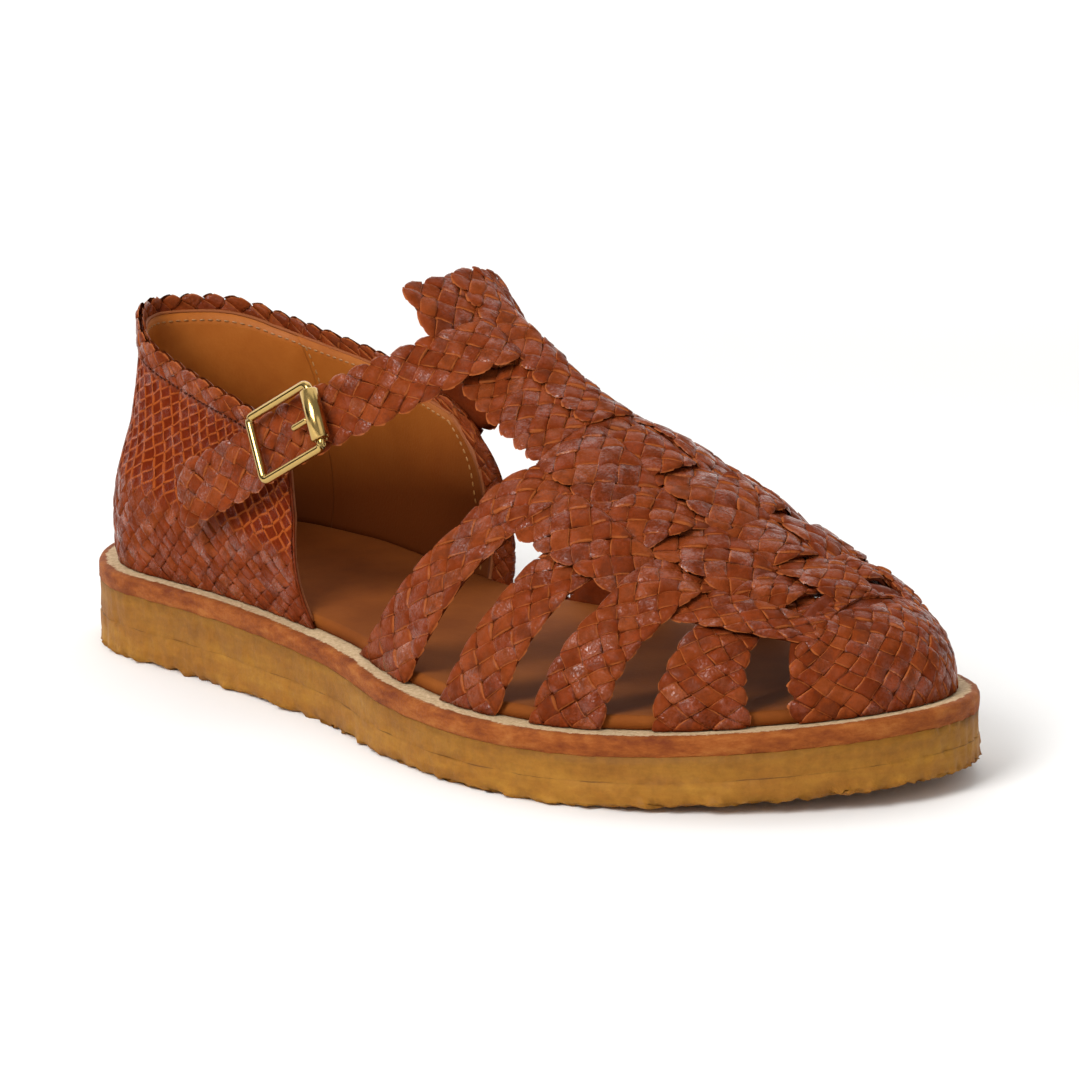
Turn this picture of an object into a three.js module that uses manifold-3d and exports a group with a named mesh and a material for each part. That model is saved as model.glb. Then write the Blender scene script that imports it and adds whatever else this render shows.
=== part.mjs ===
// Right fisherman sandal: braided leather upper on a stitched leather midsole and a crepe rubber outsole.
// Millimetres, +Z up, +X to the toe, +Y to the inner (medial) side, standing on Z = 0.
import * as THREE from 'three';
import Module from 'manifold-3d';

const wasm = await Module();
wasm.setup();

// Driving dimensions of the sole
const LENGTH = 262;
const HEEL_HEIGHT = 20.5;
const BALL_HEIGHT = 15.5;
const WEDGE_FROM = 0.25;
const WEDGE_TO = 0.7;
const SPRING_FROM = 0.72;
const TOE_SPRING = 4.4;
const TOE_SWING = 10;
const SWING_FROM = 0.6;
const HEEL_ROUND = 0.147;
const TOE_ROUND = 0.252;
const MIDSOLE_THICK = 4;
const INSOLE_THICK = 2.8;
const INSOLE_INSET = 7.4;
const INSOLE_BEVEL = 1.2;
const GAP = 0.3;
const SOLE_STATIONS = 36;
const TANGENT_STEP = 0.02;
const WIDEST = { lateral: 0.7, medial: 0.8 };

// Half widths of the sole to the outer (lateral) and inner (medial) side, at fractions of the length
const SOLE_SECTIONS = [
  { at: 0, lateral: 26, medial: 32 },
  { at: 0.1, lateral: 31.5, medial: 36 },
  { at: 0.22, lateral: 33.5, medial: 35 },
  { at: 0.34, lateral: 36.5, medial: 29.5 },
  { at: 0.46, lateral: 41, medial: 27 },
  { at: 0.58, lateral: 51, medial: 35.5 },
  { at: 0.7, lateral: 55.4, medial: 44 },
  { at: 0.82, lateral: 53.5, medial: 45.3 },
  { at: 1, lateral: 47.5, medial: 41.5 },
];

// Side of the crepe slab from the ground up: share of its height, and how far it lies inside the outline
const CREPE_SIDE = [
  { share: 0, inset: 0.7 },
  { share: 0.1, inset: 0 },
  { share: 0.48, inset: 0.1 },
  { share: 0.54, inset: 0.6 },
  { share: 1, inset: 0.2 },
];
const MIDSOLE_SIDE = [
  { share: 0, inset: 0.2 },
  { share: 0.5, inset: 0 },
  { share: 1, inset: 0.4 },
];
const INSOLE_SIDE = [
  { share: 0, inset: INSOLE_INSET },
  { share: 0.6, inset: INSOLE_INSET },
  { share: 1, inset: INSOLE_INSET + INSOLE_BEVEL },
];

// Driving dimensions of the upper
const WALL = 2;
const WALL_INSET = 5;
const BRAID_RAISE = 0.5;
const WEAVE_LIFT = 1;
const SPINE_END = 240;
const SPINE_BEND = 2 * SPINE_END - LENGTH;

// Braid lattice of each kind of wall: cells along and across, and how deep its free edges are scalloped
const BRAID = {
  counter: { along: 38, across: 10, scallop: 0.008 },
  cap: { along: 9, across: 20, scallop: 0 },
  tongue: { along: 12, across: 8, scallop: 0.012 },
  strap: { along: 28, across: 4, scallop: 0.03 },
  strip: { along: 18, across: 2, scallop: 0.05 },
  ankle: { along: 36, across: 4, scallop: 0.03 },
};

// Ridge of the instep and toe box: distance from the heel, height, side offset and fullness of the arch
const RIDGE = [
  { x: 95, height: 112, side: 9, full: 1.12 },
  { x: 120, height: 97, side: 8, full: 1.12 },
  { x: 140, height: 85, side: 5.5, full: 1.1 },
  { x: 160, height: 75, side: 3.5, full: 1.06 },
  { x: 180, height: 67, side: 2.5, full: 1 },
  { x: 200, height: 57.5, side: 3, full: 0.95 },
  { x: 220, height: 47, side: 6, full: 0.9 },
  { x: 240, height: 38.5, side: 9, full: 0.86 },
];

// Heel counter: height of the topline over the ground at each distance from the heel
const TOPLINE = [
  { x: 0, height: 82 },
  { x: 12, height: 81.5 },
  { x: 30, height: 77 },
  { x: 50, height: 72.5 },
  { x: 75, height: 67.5 },
  { x: 100, height: 61 },
  { x: 120, height: 56 },
];
const COUNTER_FRONT = { lateralFoot: 107, lateralTop: 94, medialFoot: 115, medialTop: 96 };
const FRONT_CURVE = { lateral: 1.6, medial: 6.5 };
const COUNTER_BULGE = 1.5;
const BULGE_REACH = 0.55;
const COUNTER_LEAN = { back: 7.5, lateral: 3, medial: 0.5, from: 15, to: 70 };

// Flat braided straps: where each meets the sole and crosses the ridge, and its width there along X
const STRAPS = [
  { lateral: 140, top: 184, medial: 140, footWidth: 23, sideWidth: 13.5, topWidth: 14, over: 1 },
  { lateral: 176.5, top: 202, medial: 175, footWidth: 18.5, sideWidth: 12.5, topWidth: 13, over: -1 },
  { lateral: 205, top: 217, medial: 206, footWidth: 17, sideWidth: 12.5, topWidth: 11.5, over: 1 },
  { lateral: 233.5, top: 231, medial: 230, footWidth: 13, sideWidth: 10, topWidth: 10.5, over: -1 },
];
const STRAP_SIDE = 0.55;
const STRAP_SWEEP = 1.7;
const WEAVE_REACH = 2.2;
const CAP_REAR = { foot: 249, top: 244.5 };

// Strips that run along the vamp into the toe cap: place across the arch (-1 lateral foot, 1 medial foot)
const STRIP_STEP = 0.21;
const STRIPS = [
  { row: -2, from: 172, width: 0.17 },
  { row: -1, from: 164, width: 0.185 },
  { row: 0, from: 164, width: 0.185 },
  { row: 1, from: 164, width: 0.185 },
  { row: 2, from: 172, width: 0.17 },
];
const STRIP_END = 249;
const STRIP_SPREAD = { gain: -0.05, from: 190, to: 240 };
const FIRST_CROSSING = 4;
const TONGUE = { from: 119, to: 171, width: 0.6, flare: 0.11, flat: 0.8, flareTo: 142 };

// Ankle strap: centre line from the loose tail over the counter and the tongue to the inner side
const ANKLE_WIDTH = 13.5;
const ANKLE_DIP = { depth: 3.5, middle: 4, reach: 8.5 };
const ANKLE_CROSSING = { x: 141, reach: 15 };
const ANKLE_FACE = { side: 27, rise: 0.18, forward: 0.5, up: 0.86 };
const ANKLE = [
  { x: 62, y: -33.5, z: 43 },
  { x: 80, y: -33.6, z: 52 },
  { x: 98, y: -33, z: 62 },
  { x: 113, y: -29.5, z: 70 },
  { x: 126, y: -22.5, z: 77 },
  { x: 137, y: -12, z: 84 },
  { x: 141.5, y: 4.5, z: 87 },
  { x: 135, y: 15, z: 81.5 },
  { x: 123, y: 22, z: 74 },
  { x: 109, y: 25.5, z: 67 },
  { x: 94, y: 26, z: 60.5 },
  { x: 82, y: 27, z: 57 },
];

// Buckle: a brass wire frame over the strap, with a roller on its front bar and a short prong
const BUCKLE = { x: 102.4, y: -32.5, z: 64.1, along: 23, across: 18, wire: 1.25, corner: 1.4 };
const ROLLER = { outer: 2.5, bore: 1.6, length: 12 };
const PRONG = { radius: 0.8, length: 5.5, back: 2.6, drop: 0.4 };
const BUCKLE_AXIS = { x: 0.86, y: 0.13, z: 0.48 };
const ROUND_SIDES = { wire: 8, roller: 16, prong: 8, tip: 3 };

const LEATHER = new THREE.MeshStandardMaterial({ color: 0x8a4528, roughness: 0.55 });
const CREPE = new THREE.MeshStandardMaterial({ color: 0xb08038, roughness: 0.85 });
const MIDSOLE = new THREE.MeshStandardMaterial({ color: 0xa0522d, roughness: 0.7 });
const LINING = new THREE.MeshStandardMaterial({ color: 0x9a5a22, roughness: 0.6 });
const BRASS = new THREE.MeshStandardMaterial({ color: 0xc9a55a, roughness: 0.2, metalness: 1 });

const clamp01 = (value) => Math.min(1, Math.max(0, value));
const ease = (value) => clamp01(value) ** 2 * (3 - 2 * clamp01(value));

// Smooth value of one column of a table at a place along another column, without overshoot
function tableValue(rows, place, at, column) {
  const last = rows.length - 1;
  const slope = (k) => (rows[k + 1][column] - rows[k][column]) / (rows[k + 1][place] - rows[k][place]);
  const tangent = (k) => {
    if (k === 0) return slope(0);
    if (k === last) return slope(last - 1);
    const before = slope(k - 1);
    const after = slope(k);
    return before * after <= 0 ? 0 : (2 * before * after) / (before + after);
  };
  let k = 0;
  while (k < last - 1 && at > rows[k + 1][place]) k += 1;
  const span = rows[k + 1][place] - rows[k][place];
  const u = clamp01((at - rows[k][place]) / span);
  const start = rows[k][column] * (1 + 2 * u) * (1 - u) ** 2 + tangent(k) * span * u * (1 - u) ** 2;
  const end = rows[k + 1][column] * u * u * (3 - 2 * u) + tangent(k + 1) * span * u * u * (u - 1);
  return start + end;
}

// Sole heights at a distance from the heel
const groundHeight = (x) => TOE_SPRING * clamp01((x / LENGTH - SPRING_FROM) / (1 - SPRING_FROM)) ** 2;
function midsoleTop(x) {
  const wedge = ease((x / LENGTH - WEDGE_FROM) / (WEDGE_TO - WEDGE_FROM));
  return groundHeight(x) + HEEL_HEIGHT + (BALL_HEIGHT - HEEL_HEIGHT) * wedge;
}
const crepeTop = (x) => midsoleTop(x) - MIDSOLE_THICK - GAP;

// Sole outline at an angle: 0 at the heel, PI at the toe, then back along the medial side
const angleAt = (x) => Math.acos(1 - (2 * Math.min(Math.max(x, 0), LENGTH)) / LENGTH);
const rounded = (reach) => (reach >= 1 ? 1 : Math.sqrt(Math.max(0, 1 - (1 - reach) ** 2)));
function outline(angle) {
  const at = (1 - Math.cos(angle)) / 2;
  const side = Math.sin(angle) >= 0 ? 'lateral' : 'medial';
  const ends = rounded(at / HEEL_ROUND) * rounded((1 - at) / TOE_ROUND);
  const width = tableValue(SOLE_SECTIONS, 'at', at, side) * ends;
  const swing = TOE_SWING * clamp01((at - SWING_FROM) / (1 - SWING_FROM)) ** 2;
  return new THREE.Vector2(at * LENGTH, swing + (side === 'lateral' ? -width : width));
}
function insetOutline(angle, inset) {
  const travel = outline(angle + TANGENT_STEP).sub(outline(angle - TANGENT_STEP)).normalize();
  return outline(angle).add(new THREE.Vector2(-travel.y, travel.x).multiplyScalar(inset));
}

// Closed mesh from vertices and triangles, as a geometry or as a solid to join and cut
function meshGeometry(vertices, triangles) {
  const geometry = new THREE.BufferGeometry();
  geometry.setAttribute('position', new THREE.Float32BufferAttribute(vertices, 3));
  geometry.setIndex(triangles);
  return geometry;
}
function solidOf({ vertices, triangles }) {
  const mesh = new wasm.Mesh({
    numProp: 3,
    vertProperties: new Float32Array(vertices),
    triVerts: new Uint32Array(triangles),
  });
  return new wasm.Manifold(mesh);
}
function solidGeometry(solid) {
  const { vertProperties, triVerts } = solid.getMesh();
  return meshGeometry(Array.from(vertProperties), Array.from(triVerts));
}

// Slab of the sole's outline between two heights, with a side profile of shares and insets
function slab(profile, lower, upper) {
  const vertices = [];
  const triangles = [];
  const around = 2 * SOLE_STATIONS;
  const angles = Array.from({ length: around }, (_, k) => (k * Math.PI) / SOLE_STATIONS);
  for (const { share, inset } of profile) {
    for (const angle of angles) {
      const { x, y } = insetOutline(angle, inset);
      vertices.push(x, y, lower(x) + (upper(x) - lower(x)) * share);
    }
  }
  for (let ring = 0; ring + 1 < profile.length; ring += 1) {
    for (let k = 0; k < around; k += 1) {
      const a = ring * around + k;
      const b = ring * around + ((k + 1) % around);
      triangles.push(a, b, b + around, a, b + around, a + around);
    }
  }
  const ladder = (first, flip) => {
    for (let k = 0; k < SOLE_STATIONS; k += 1) {
      const [a, b] = [first + k, first + k + 1];
      const [c, d] = [first + ((around - k - 1) % around), first + ((around - k) % around)];
      const rungs = [[a, b, c], [a, c, d]].filter((rung) => new Set(rung).size === 3);
      for (const [p, q, r] of rungs) triangles.push(...(flip ? [p, r, q] : [p, q, r]));
    }
  };
  ladder(0, true);
  ladder((profile.length - 1) * around, false);
  return meshGeometry(vertices, triangles);
}

// Arch of the last over the forefoot: angle along the shoe, q from the lateral (-1) to the medial foot (1)
const spineAt = (x) =>
  x <= SPINE_BEND ? x : SPINE_END - (LENGTH - x) ** 2 / (4 * (SPINE_END - SPINE_BEND));
function archPoint(angle, q) {
  const foot = insetOutline(q < 0 ? angle : -angle, WALL_INSET);
  const spine = spineAt((LENGTH * (1 - Math.cos(angle))) / 2);
  const height = tableValue(RIDGE, 'x', spine, 'height');
  const side = tableValue(RIDGE, 'x', spine, 'side');
  const full = tableValue(RIDGE, 'x', spine, 'full');
  const rise = (1 - Math.min(1, Math.abs(q))) * (Math.PI / 2);
  const inward = 1 - Math.cos(rise) ** full;
  const floor = midsoleTop(foot.x) + GAP;
  return new THREE.Vector3(
    foot.x + (spine - foot.x) * inward,
    foot.y + (side - foot.y) * inward,
    floor + (height - floor) * Math.sin(rise) ** full,
  );
}

// Wall of the heel counter: around from the lateral front edge (0) to the medial one (1), and up (0 to 1)
function counterPoint(around, up) {
  const { lateralFoot, lateralTop, medialFoot, medialTop } = COUNTER_FRONT;
  const rise = 1 - (1 - clamp01(up)) ** FRONT_CURVE.lateral;
  const lateral = angleAt(lateralFoot + (lateralTop - lateralFoot) * rise);
  const sweep = clamp01(up) ** FRONT_CURVE.medial;
  const medial = angleAt(medialFoot + (medialTop - medialFoot) * sweep);
  const angle = lateral + (-medial - lateral) * around;
  const foot = insetOutline(angle, WALL_INSET);
  const floor = midsoleTop(foot.x) + GAP;
  const top = tableValue(TOPLINE, 'x', foot.x, 'height');
  const { back, from, to, ...sides } = COUNTER_LEAN;
  const side = angle > 0 ? sides.lateral : sides.medial;
  const tilt = back + (side - back) * ease((foot.x - from) / (to - from));
  const lean = tilt * ease(up) - COUNTER_BULGE * Math.sin(Math.PI * clamp01(up / BULGE_REACH));
  const { x, y } = insetOutline(angle, WALL_INSET + lean);
  return new THREE.Vector3(x, y, floor + (top - floor) * up);
}

// Wall of diamond braid cells on a surface(u, w): odd lattice points stand proud, free edges are scalloped
function braidedWall({ along, across, scallop, surface, lift = () => 0, seated = false, fold = false }) {
  const vertices = [];
  const triangles = [];
  const layer = (along + 1) * (across + 1);
  const step = TANGENT_STEP;
  const normalAt = (u, w) => {
    const [u0, u1] = [Math.max(0, u - step), Math.min(1, u + step)];
    const du = surface(u1, w).sub(surface(u0, w));
    const dw = surface(u, w + step).sub(surface(u, w - step));
    return du.cross(dw).normalize();
  };
  const put = (u, w, raise) => {
    const normal = normalAt(u, w);
    const point = surface(u, w).addScaledVector(normal, lift(u, w) + raise);
    vertices.push(point.x, point.y, point.z);
  };
  for (const face of [1, -1]) {
    for (let a = 0; a <= along; a += 1) {
      for (let b = 0; b <= across; b += 1) {
        const odd = (a + b) % 2;
        const out = odd ? scallop : -scallop;
        let w = b / across;
        if (b === 0 && !seated) w -= out;
        if (b === across) w += out;
        put(a / along, w, face > 0 ? WALL / 2 + odd * BRAID_RAISE : -WALL / 2);
      }
    }
  }
  const index = (face, a, b) => {
    const column = fold && a === along && b > across / 2 ? across - b : b;
    return face * layer + a * (across + 1) + column;
  };
  const add = (...corner) => {
    if (new Set(corner).size === 3) triangles.push(...corner);
  };
  for (let a = 0; a < along; a += 1) {
    for (let b = 0; b < across; b += 1) {
      for (const face of [0, 1]) {
        const corners = [[a, b], [a + 1, b], [a + 1, b + 1], [a, b + 1]].map(([i, j]) => index(face, i, j));
        const turned = (a + b) % 2 ? [...corners.slice(1), corners[0]] : corners;
        const [p, q, r, s] = face ? [turned[0], turned[3], turned[2], turned[1]] : turned;
        add(p, q, r);
        add(p, r, s);
      }
    }
  }
  const rim = (list) => {
    for (let k = 0; k + 1 < list.length; k += 1) {
      const [i, j] = list[k];
      const [m, n] = list[k + 1];
      add(index(0, m, n), index(0, i, j), index(1, i, j));
      add(index(0, m, n), index(1, i, j), index(1, m, n));
    }
  };
  const rowPoints = (a) => Array.from({ length: across + 1 }, (_, b) => [a, b]);
  const columnPoints = (b) => Array.from({ length: along + 1 }, (_, a) => [a, b]);
  rim(columnPoints(0));
  rim(columnPoints(across).reverse());
  rim(rowPoints(0).reverse());
  if (!fold) rim(rowPoints(along));
  return solidOf({ vertices, triangles });
}

// Braided strap over the arch, raised and lowered where it crosses the strips
function strapWall({ lateral, top, medial, footWidth, sideWidth, topWidth, over }) {
  const widths = [
    { reach: 0, width: topWidth },
    { reach: STRAP_SIDE, width: sideWidth },
    { reach: 1, width: footWidth },
  ];
  const surface = (u, w) => {
    const q = 2 * u - 1;
    const foot = q < 0 ? lateral : medial;
    const reach = Math.abs(q);
    const width = tableValue(widths, 'reach', reach, 'width');
    return archPoint(angleAt(top + (foot - top) * reach ** STRAP_SWEEP + (w - 0.5) * width), q);
  };
  const lift = (u) => {
    const q = 2 * u - 1;
    const fade = 1 - ease(Math.abs(q) / STRIP_STEP - WEAVE_REACH);
    return over * WEAVE_LIFT * Math.cos((Math.PI * q) / STRIP_STEP) * fade;
  };
  return braidedWall({ ...BRAID.strap, surface: (u, w) => surface(u, 1 - w), lift });
}

// Strip along the vamp, passing over the straps that pass under it
function stripWall({ row, from, width }) {
  const crossings = STRAPS.map(({ lateral, top, over }) => ({
    x: top + (lateral - top) * Math.abs(row * STRIP_STEP) ** STRAP_SWEEP,
    lift: -over * WEAVE_LIFT * (row % 2 ? -1 : 1),
  }));
  const crossed = crossings.filter(({ x }) => x > from + FIRST_CROSSING);
  const rows = [{ x: from, lift: 0 }, ...crossed, { x: STRIP_END, lift: 0 }];
  const place = (u) => from + (STRIP_END - from) * u;
  const surface = (u, w) => {
    const { gain, from: start, to } = STRIP_SPREAD;
    const spread = 1 + gain * ease((place(u) - start) / (to - start));
    return archPoint(angleAt(place(u)), (row * STRIP_STEP + (w - 0.5) * width) * spread);
  };
  const lift = (u) => tableValue(rows, 'x', place(u), 'lift');
  return braidedWall({ ...BRAID.strip, surface, lift });
}

// Tongue: its middle passes over the ankle strap and its sides under it; its free end is nearly flat
function tongueWall() {
  const { from, to, width, flare, flat, flareTo } = TONGUE;
  const place = (u) => from + (to - from) * u;
  const open = (u) => 1 - ease((place(u) - from) / (flareTo - from));
  const surface = (u, w) => {
    const point = archPoint(angleAt(place(u)), (w - 0.5) * (width + flare * open(u)));
    const crest = tableValue(RIDGE, 'x', place(u), 'height');
    point.z += (crest - point.z) * flat * open(u);
    return point;
  };
  const lift = (u, w) => {
    const near = 1 - ease(Math.abs(place(u) - ANKLE_CROSSING.x) / ANKLE_CROSSING.reach);
    return WEAVE_LIFT * near * Math.cos((Math.PI * (w - 0.5) * width) / STRIP_STEP);
  };
  return braidedWall({ ...BRAID.tongue, surface, lift });
}

function toeCapWall() {
  const { foot, top } = CAP_REAR;
  const surface = (u, w) => {
    const q = 2 * Math.min(1, Math.max(0, w)) - 1;
    const rear = angleAt(top + (foot - top) * Math.abs(q));
    return archPoint(rear + (Math.PI - rear) * u, q);
  };
  return braidedWall({ ...BRAID.cap, surface, fold: true });
}

function counterWall() {
  const surface = (u, w) => counterPoint(1 - u, w);
  return braidedWall({ ...BRAID.counter, surface, seated: true });
}

// Ankle strap as a ribbon along its centre line, leaning from the sides to the top of the instep
const ankleCurve = new THREE.CatmullRomCurve3(ANKLE.map(({ x, y, z }) => new THREE.Vector3(x, y, z)));
function ankleNormal(point) {
  const { side, rise, forward, up } = ANKLE_FACE;
  const top = ease(1 - Math.abs(point.y) / side);
  const outward = new THREE.Vector3(0, Math.sign(point.y) || 1, rise);
  return outward.lerp(new THREE.Vector3(forward, 0, up), top).normalize();
}
function ankleWall() {
  const surface = (u, w) => {
    const at = Math.min(1, Math.max(0, u));
    const point = ankleCurve.getPointAt(at);
    const across = ankleNormal(point).cross(ankleCurve.getTangentAt(at)).normalize();
    return point.addScaledVector(across, (w - 0.5) * ANKLE_WIDTH);
  };
  const lift = (u) => {
    const { depth, middle, reach } = ANKLE_DIP;
    return -depth * (1 - ease(Math.abs(ankleCurve.getPointAt(u).y - middle) / reach));
  };
  return braidedWall({ ...BRAID.ankle, surface, lift });
}

function upperGeometry() {
  const walls = [
    counterWall(),
    toeCapWall(),
    tongueWall(),
    ankleWall(),
    ...STRAPS.map(strapWall),
    ...STRIPS.map(stripWall),
  ];
  return solidGeometry(walls.reduce((whole, wall) => whole.add(wall)));
}

// Buckle's own axes: along the strap, across it and out from the shoe
function buckleGroup() {
  const along = new THREE.Vector3(BUCKLE_AXIS.x, BUCKLE_AXIS.y, BUCKLE_AXIS.z).normalize();
  const out = ankleNormal(new THREE.Vector3(0, -ANKLE_FACE.side, 0));
  const across = out.clone().cross(along).normalize();
  out.copy(along).cross(across);
  const group = new THREE.Group();
  group.quaternion.setFromRotationMatrix(new THREE.Matrix4().makeBasis(along, across, out));
  const clearance = WALL / 2 + BRAID_RAISE + GAP + BUCKLE.wire;
  group.position.set(BUCKLE.x, BUCKLE.y, BUCKLE.z).addScaledVector(out, clearance);
  return group;
}
function frameGeometry() {
  const { along, across, wire, corner } = BUCKLE;
  const [x, y] = [along / 2 - wire, across / 2 - wire];
  const corners = [[x, y, 0], [-x, y, 1], [-x, -y, 2], [x, -y, 3]];
  const points = corners.flatMap(([px, py, quarter]) => {
    const centre = new THREE.Vector3(px - Math.sign(px) * corner, py - Math.sign(py) * corner, 0);
    return [0, 1, 2].map((k) => {
      const turn = ((quarter + k / 2) * Math.PI) / 2;
      return new THREE.Vector3(Math.cos(turn), Math.sin(turn), 0).multiplyScalar(corner).add(centre);
    });
  });
  const vertices = [];
  const triangles = [];
  const sides = ROUND_SIDES.wire;
  points.forEach((point, k) => {
    const before = points[(k + points.length - 1) % points.length];
    const after = points[(k + 1) % points.length];
    const travel = after.clone().sub(before).normalize();
    const inward = new THREE.Vector3(-travel.y, travel.x, 0);
    for (let s = 0; s < sides; s += 1) {
      const turn = (s * 2 * Math.PI) / sides;
      const place = point.clone().addScaledVector(inward, wire * Math.cos(turn));
      vertices.push(place.x, place.y, wire * Math.sin(turn));
    }
    for (let s = 0; s < sides; s += 1) {
      const next = ((k + 1) % points.length) * sides;
      const [a, b] = [k * sides + s, k * sides + ((s + 1) % sides)];
      const [c, d] = [next + s, next + ((s + 1) % sides)];
      triangles.push(a, d, c, a, b, d);
    }
  });
  return meshGeometry(vertices, triangles);
}
function rollerGeometry() {
  const { outer, bore, length } = ROLLER;
  const half = length / 2;
  const section = [[bore, -half], [outer, -half], [outer, half], [bore, half], [bore, -half]];
  return new THREE.LatheGeometry(section.map(([r, h]) => new THREE.Vector2(r, h)), ROUND_SIDES.roller);
}
function prongGeometry() {
  return new THREE.CapsuleGeometry(PRONG.radius, PRONG.length, ROUND_SIDES.tip, ROUND_SIDES.prong);
}

function piece(name, geometry, material) {
  const mesh = new THREE.Mesh(geometry, material);
  mesh.name = name;
  return mesh;
}

const sandal = new THREE.Group();
const lateralEdge = outline(angleAt(LENGTH * WIDEST.lateral)).y;
const medialEdge = outline(-angleAt(LENGTH * WIDEST.medial)).y;
const middle = (lateralEdge + medialEdge) / 2;
sandal.position.set(-LENGTH / 2, -middle, 0);
sandal.add(piece('outsole', slab(CREPE_SIDE, groundHeight, crepeTop), CREPE));
sandal.add(piece('midsole', slab(MIDSOLE_SIDE, (x) => crepeTop(x) + GAP, midsoleTop), MIDSOLE));
const insoleBottom = (x) => midsoleTop(x) + GAP;
sandal.add(piece('insole', slab(INSOLE_SIDE, insoleBottom, (x) => insoleBottom(x) + INSOLE_THICK), LINING));
sandal.add(piece('upper', upperGeometry(), LEATHER));

const buckle = buckleGroup();
buckle.add(piece('buckle_frame', frameGeometry(), BRASS));
const roller = piece('buckle_roller', rollerGeometry(), BRASS);
roller.position.x = BUCKLE.along / 2 - BUCKLE.wire;
buckle.add(roller);
const prong = piece('buckle_prong', prongGeometry(), BRASS);
prong.position.set(BUCKLE.along / 2 - ROLLER.outer - PRONG.length / 2 - PRONG.back, 0, -PRONG.drop);
prong.rotation.z = Math.PI / 2;
buckle.add(prong);
sandal.add(buckle);

export default sandal;
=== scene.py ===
"""Looks of a right fisherman sandal: woven leather upper, leather welt, crepe sole and brass buckle."""

import math

import bpy
import numpy as np
from bpy.props import FloatProperty, FloatVectorProperty, PointerProperty
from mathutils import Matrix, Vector


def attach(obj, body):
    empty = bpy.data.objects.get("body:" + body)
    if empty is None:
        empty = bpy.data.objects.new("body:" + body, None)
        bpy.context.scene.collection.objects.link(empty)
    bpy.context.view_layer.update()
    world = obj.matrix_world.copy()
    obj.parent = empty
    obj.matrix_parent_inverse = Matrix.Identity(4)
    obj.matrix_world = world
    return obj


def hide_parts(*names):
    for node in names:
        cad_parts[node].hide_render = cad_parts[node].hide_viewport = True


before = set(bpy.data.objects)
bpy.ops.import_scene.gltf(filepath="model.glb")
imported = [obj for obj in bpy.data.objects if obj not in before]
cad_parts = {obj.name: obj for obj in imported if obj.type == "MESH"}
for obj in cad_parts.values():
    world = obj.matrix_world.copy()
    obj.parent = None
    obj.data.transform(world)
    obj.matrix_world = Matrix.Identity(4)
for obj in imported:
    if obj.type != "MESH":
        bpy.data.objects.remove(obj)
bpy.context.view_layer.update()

bl_info = {
    "name": "Fisherman sandal",
    "version": (1, 0, 0),
    "blender": (4, 5, 0),
    "location": "3D View > Sidebar > Sandal",
    "description": "Builds the woven upper, lining, sole and buckle of a right fisherman sandal",
    "category": "Object",
}


def table(columns, *rows):
    """Rows of a table, by the names of its columns."""
    return [dict(zip(columns.split(), row)) for row in rows]


# The last and the sole, in millimetres from the heel, as the solids have them
LENGTH = 262.0
HEEL_HEIGHT, BALL_HEIGHT = 20.5, 15.5
WEDGE_FROM, WEDGE_TO = 0.25, 0.7
SPRING_FROM, TOE_SPRING = 0.72, 4.4
SWING_FROM, TOE_SWING = 0.6, 10.0
HEEL_ROUND, TOE_ROUND = 0.147, 0.252
MIDSOLE_THICK, INSOLE_THICK, INSOLE_INSET, GAP = 4.0, 2.8, 7.4, 0.3
WALL_INSET = 5.0
SPINE_END = 240.0
SPINE_BEND = 2 * SPINE_END - LENGTH
TANGENT_STEP, NORMAL_STEP = 0.02, 0.004
WIDEST = {"lateral": 0.7, "medial": 0.8}
SOLE_SECTIONS = table(
    "at lateral medial",
    (0, 26, 32),
    (0.1, 31.5, 36),
    (0.22, 33.5, 35),
    (0.34, 36.5, 29.5),
    (0.46, 41, 27),
    (0.58, 51, 35.5),
    (0.7, 55.4, 44),
    (0.82, 53.5, 45.3),
    (1, 47.5, 41.5),
)
RIDGE = table(
    "x height side full",
    (95, 112, 9, 1.12),
    (120, 97, 8, 1.12),
    (140, 85, 5.5, 1.1),
    (160, 75, 3.5, 1.06),
    (180, 67, 2.5, 1),
    (200, 57.5, 3, 0.95),
    (220, 47, 6, 0.9),
    (240, 38.5, 9, 0.86),
)

# Side profiles from the bottom up: share of the height, inset in mm, and what is painted there. The footbed
# spreads a little past its solid, and the welt lies closer to the crepe than its solid
FOOTBED_SPREAD, WELT_LIFT = 0.9, 0.06
CREPE_STATIONS, WELT_STATIONS, FOOTBED_STATIONS = 560, 420, 240
CREPE_PROFILE = table(
    "share inset rough under layer",
    (0, 8, 0, 0, 0),
    (0, 1.1, 1.2, 0, 0),
    (0.035, 0.35, 1, 0, 0),
    (0.1, 0, 0.35, 0, 0),
    (0.28, 0.05, 0.25, 0.05, 0),
    (0.47, 0.1, 0.2, 0.1, 0),
    (0.5, 0.28, 0.35, 0.3, 1),
    (0.54, 0.3, 0.25, 0.2, 0),
    (0.8, 0.25, 0.2, 0.35, 0),
    (1, 0.2, 0.15, 0.75, 0),
)
CREPE_NICKS = table("ring depth", (1, 1.6), (2, 2.4))
NICK_SPREAD = 0.8
WELT_ROUGH = 0.08
WELT_PROFILE = table(
    "share inset top",
    (-0.04, 0.3, 0),
    (0.06, 0.1, 0),
    (0.5, 0, 0),
    (0.78, 0.1, 0.1),
    (0.91, 0.4, 0.2),
    (0.98, 0.95, 0.4),
    (1, 1.7, 0.62),
    (1, 2.5, 0.95),
    (1, 4, 1),
    (1, 9, 1),
)
FOOTBED_PROFILE = table(
    "share inset",
    (0, 0),
    (0.6, 0),
    (0.95, 0.5),
    (1, 1.3),
    (0.97, 6),
    (0.86, 14),
)

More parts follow.
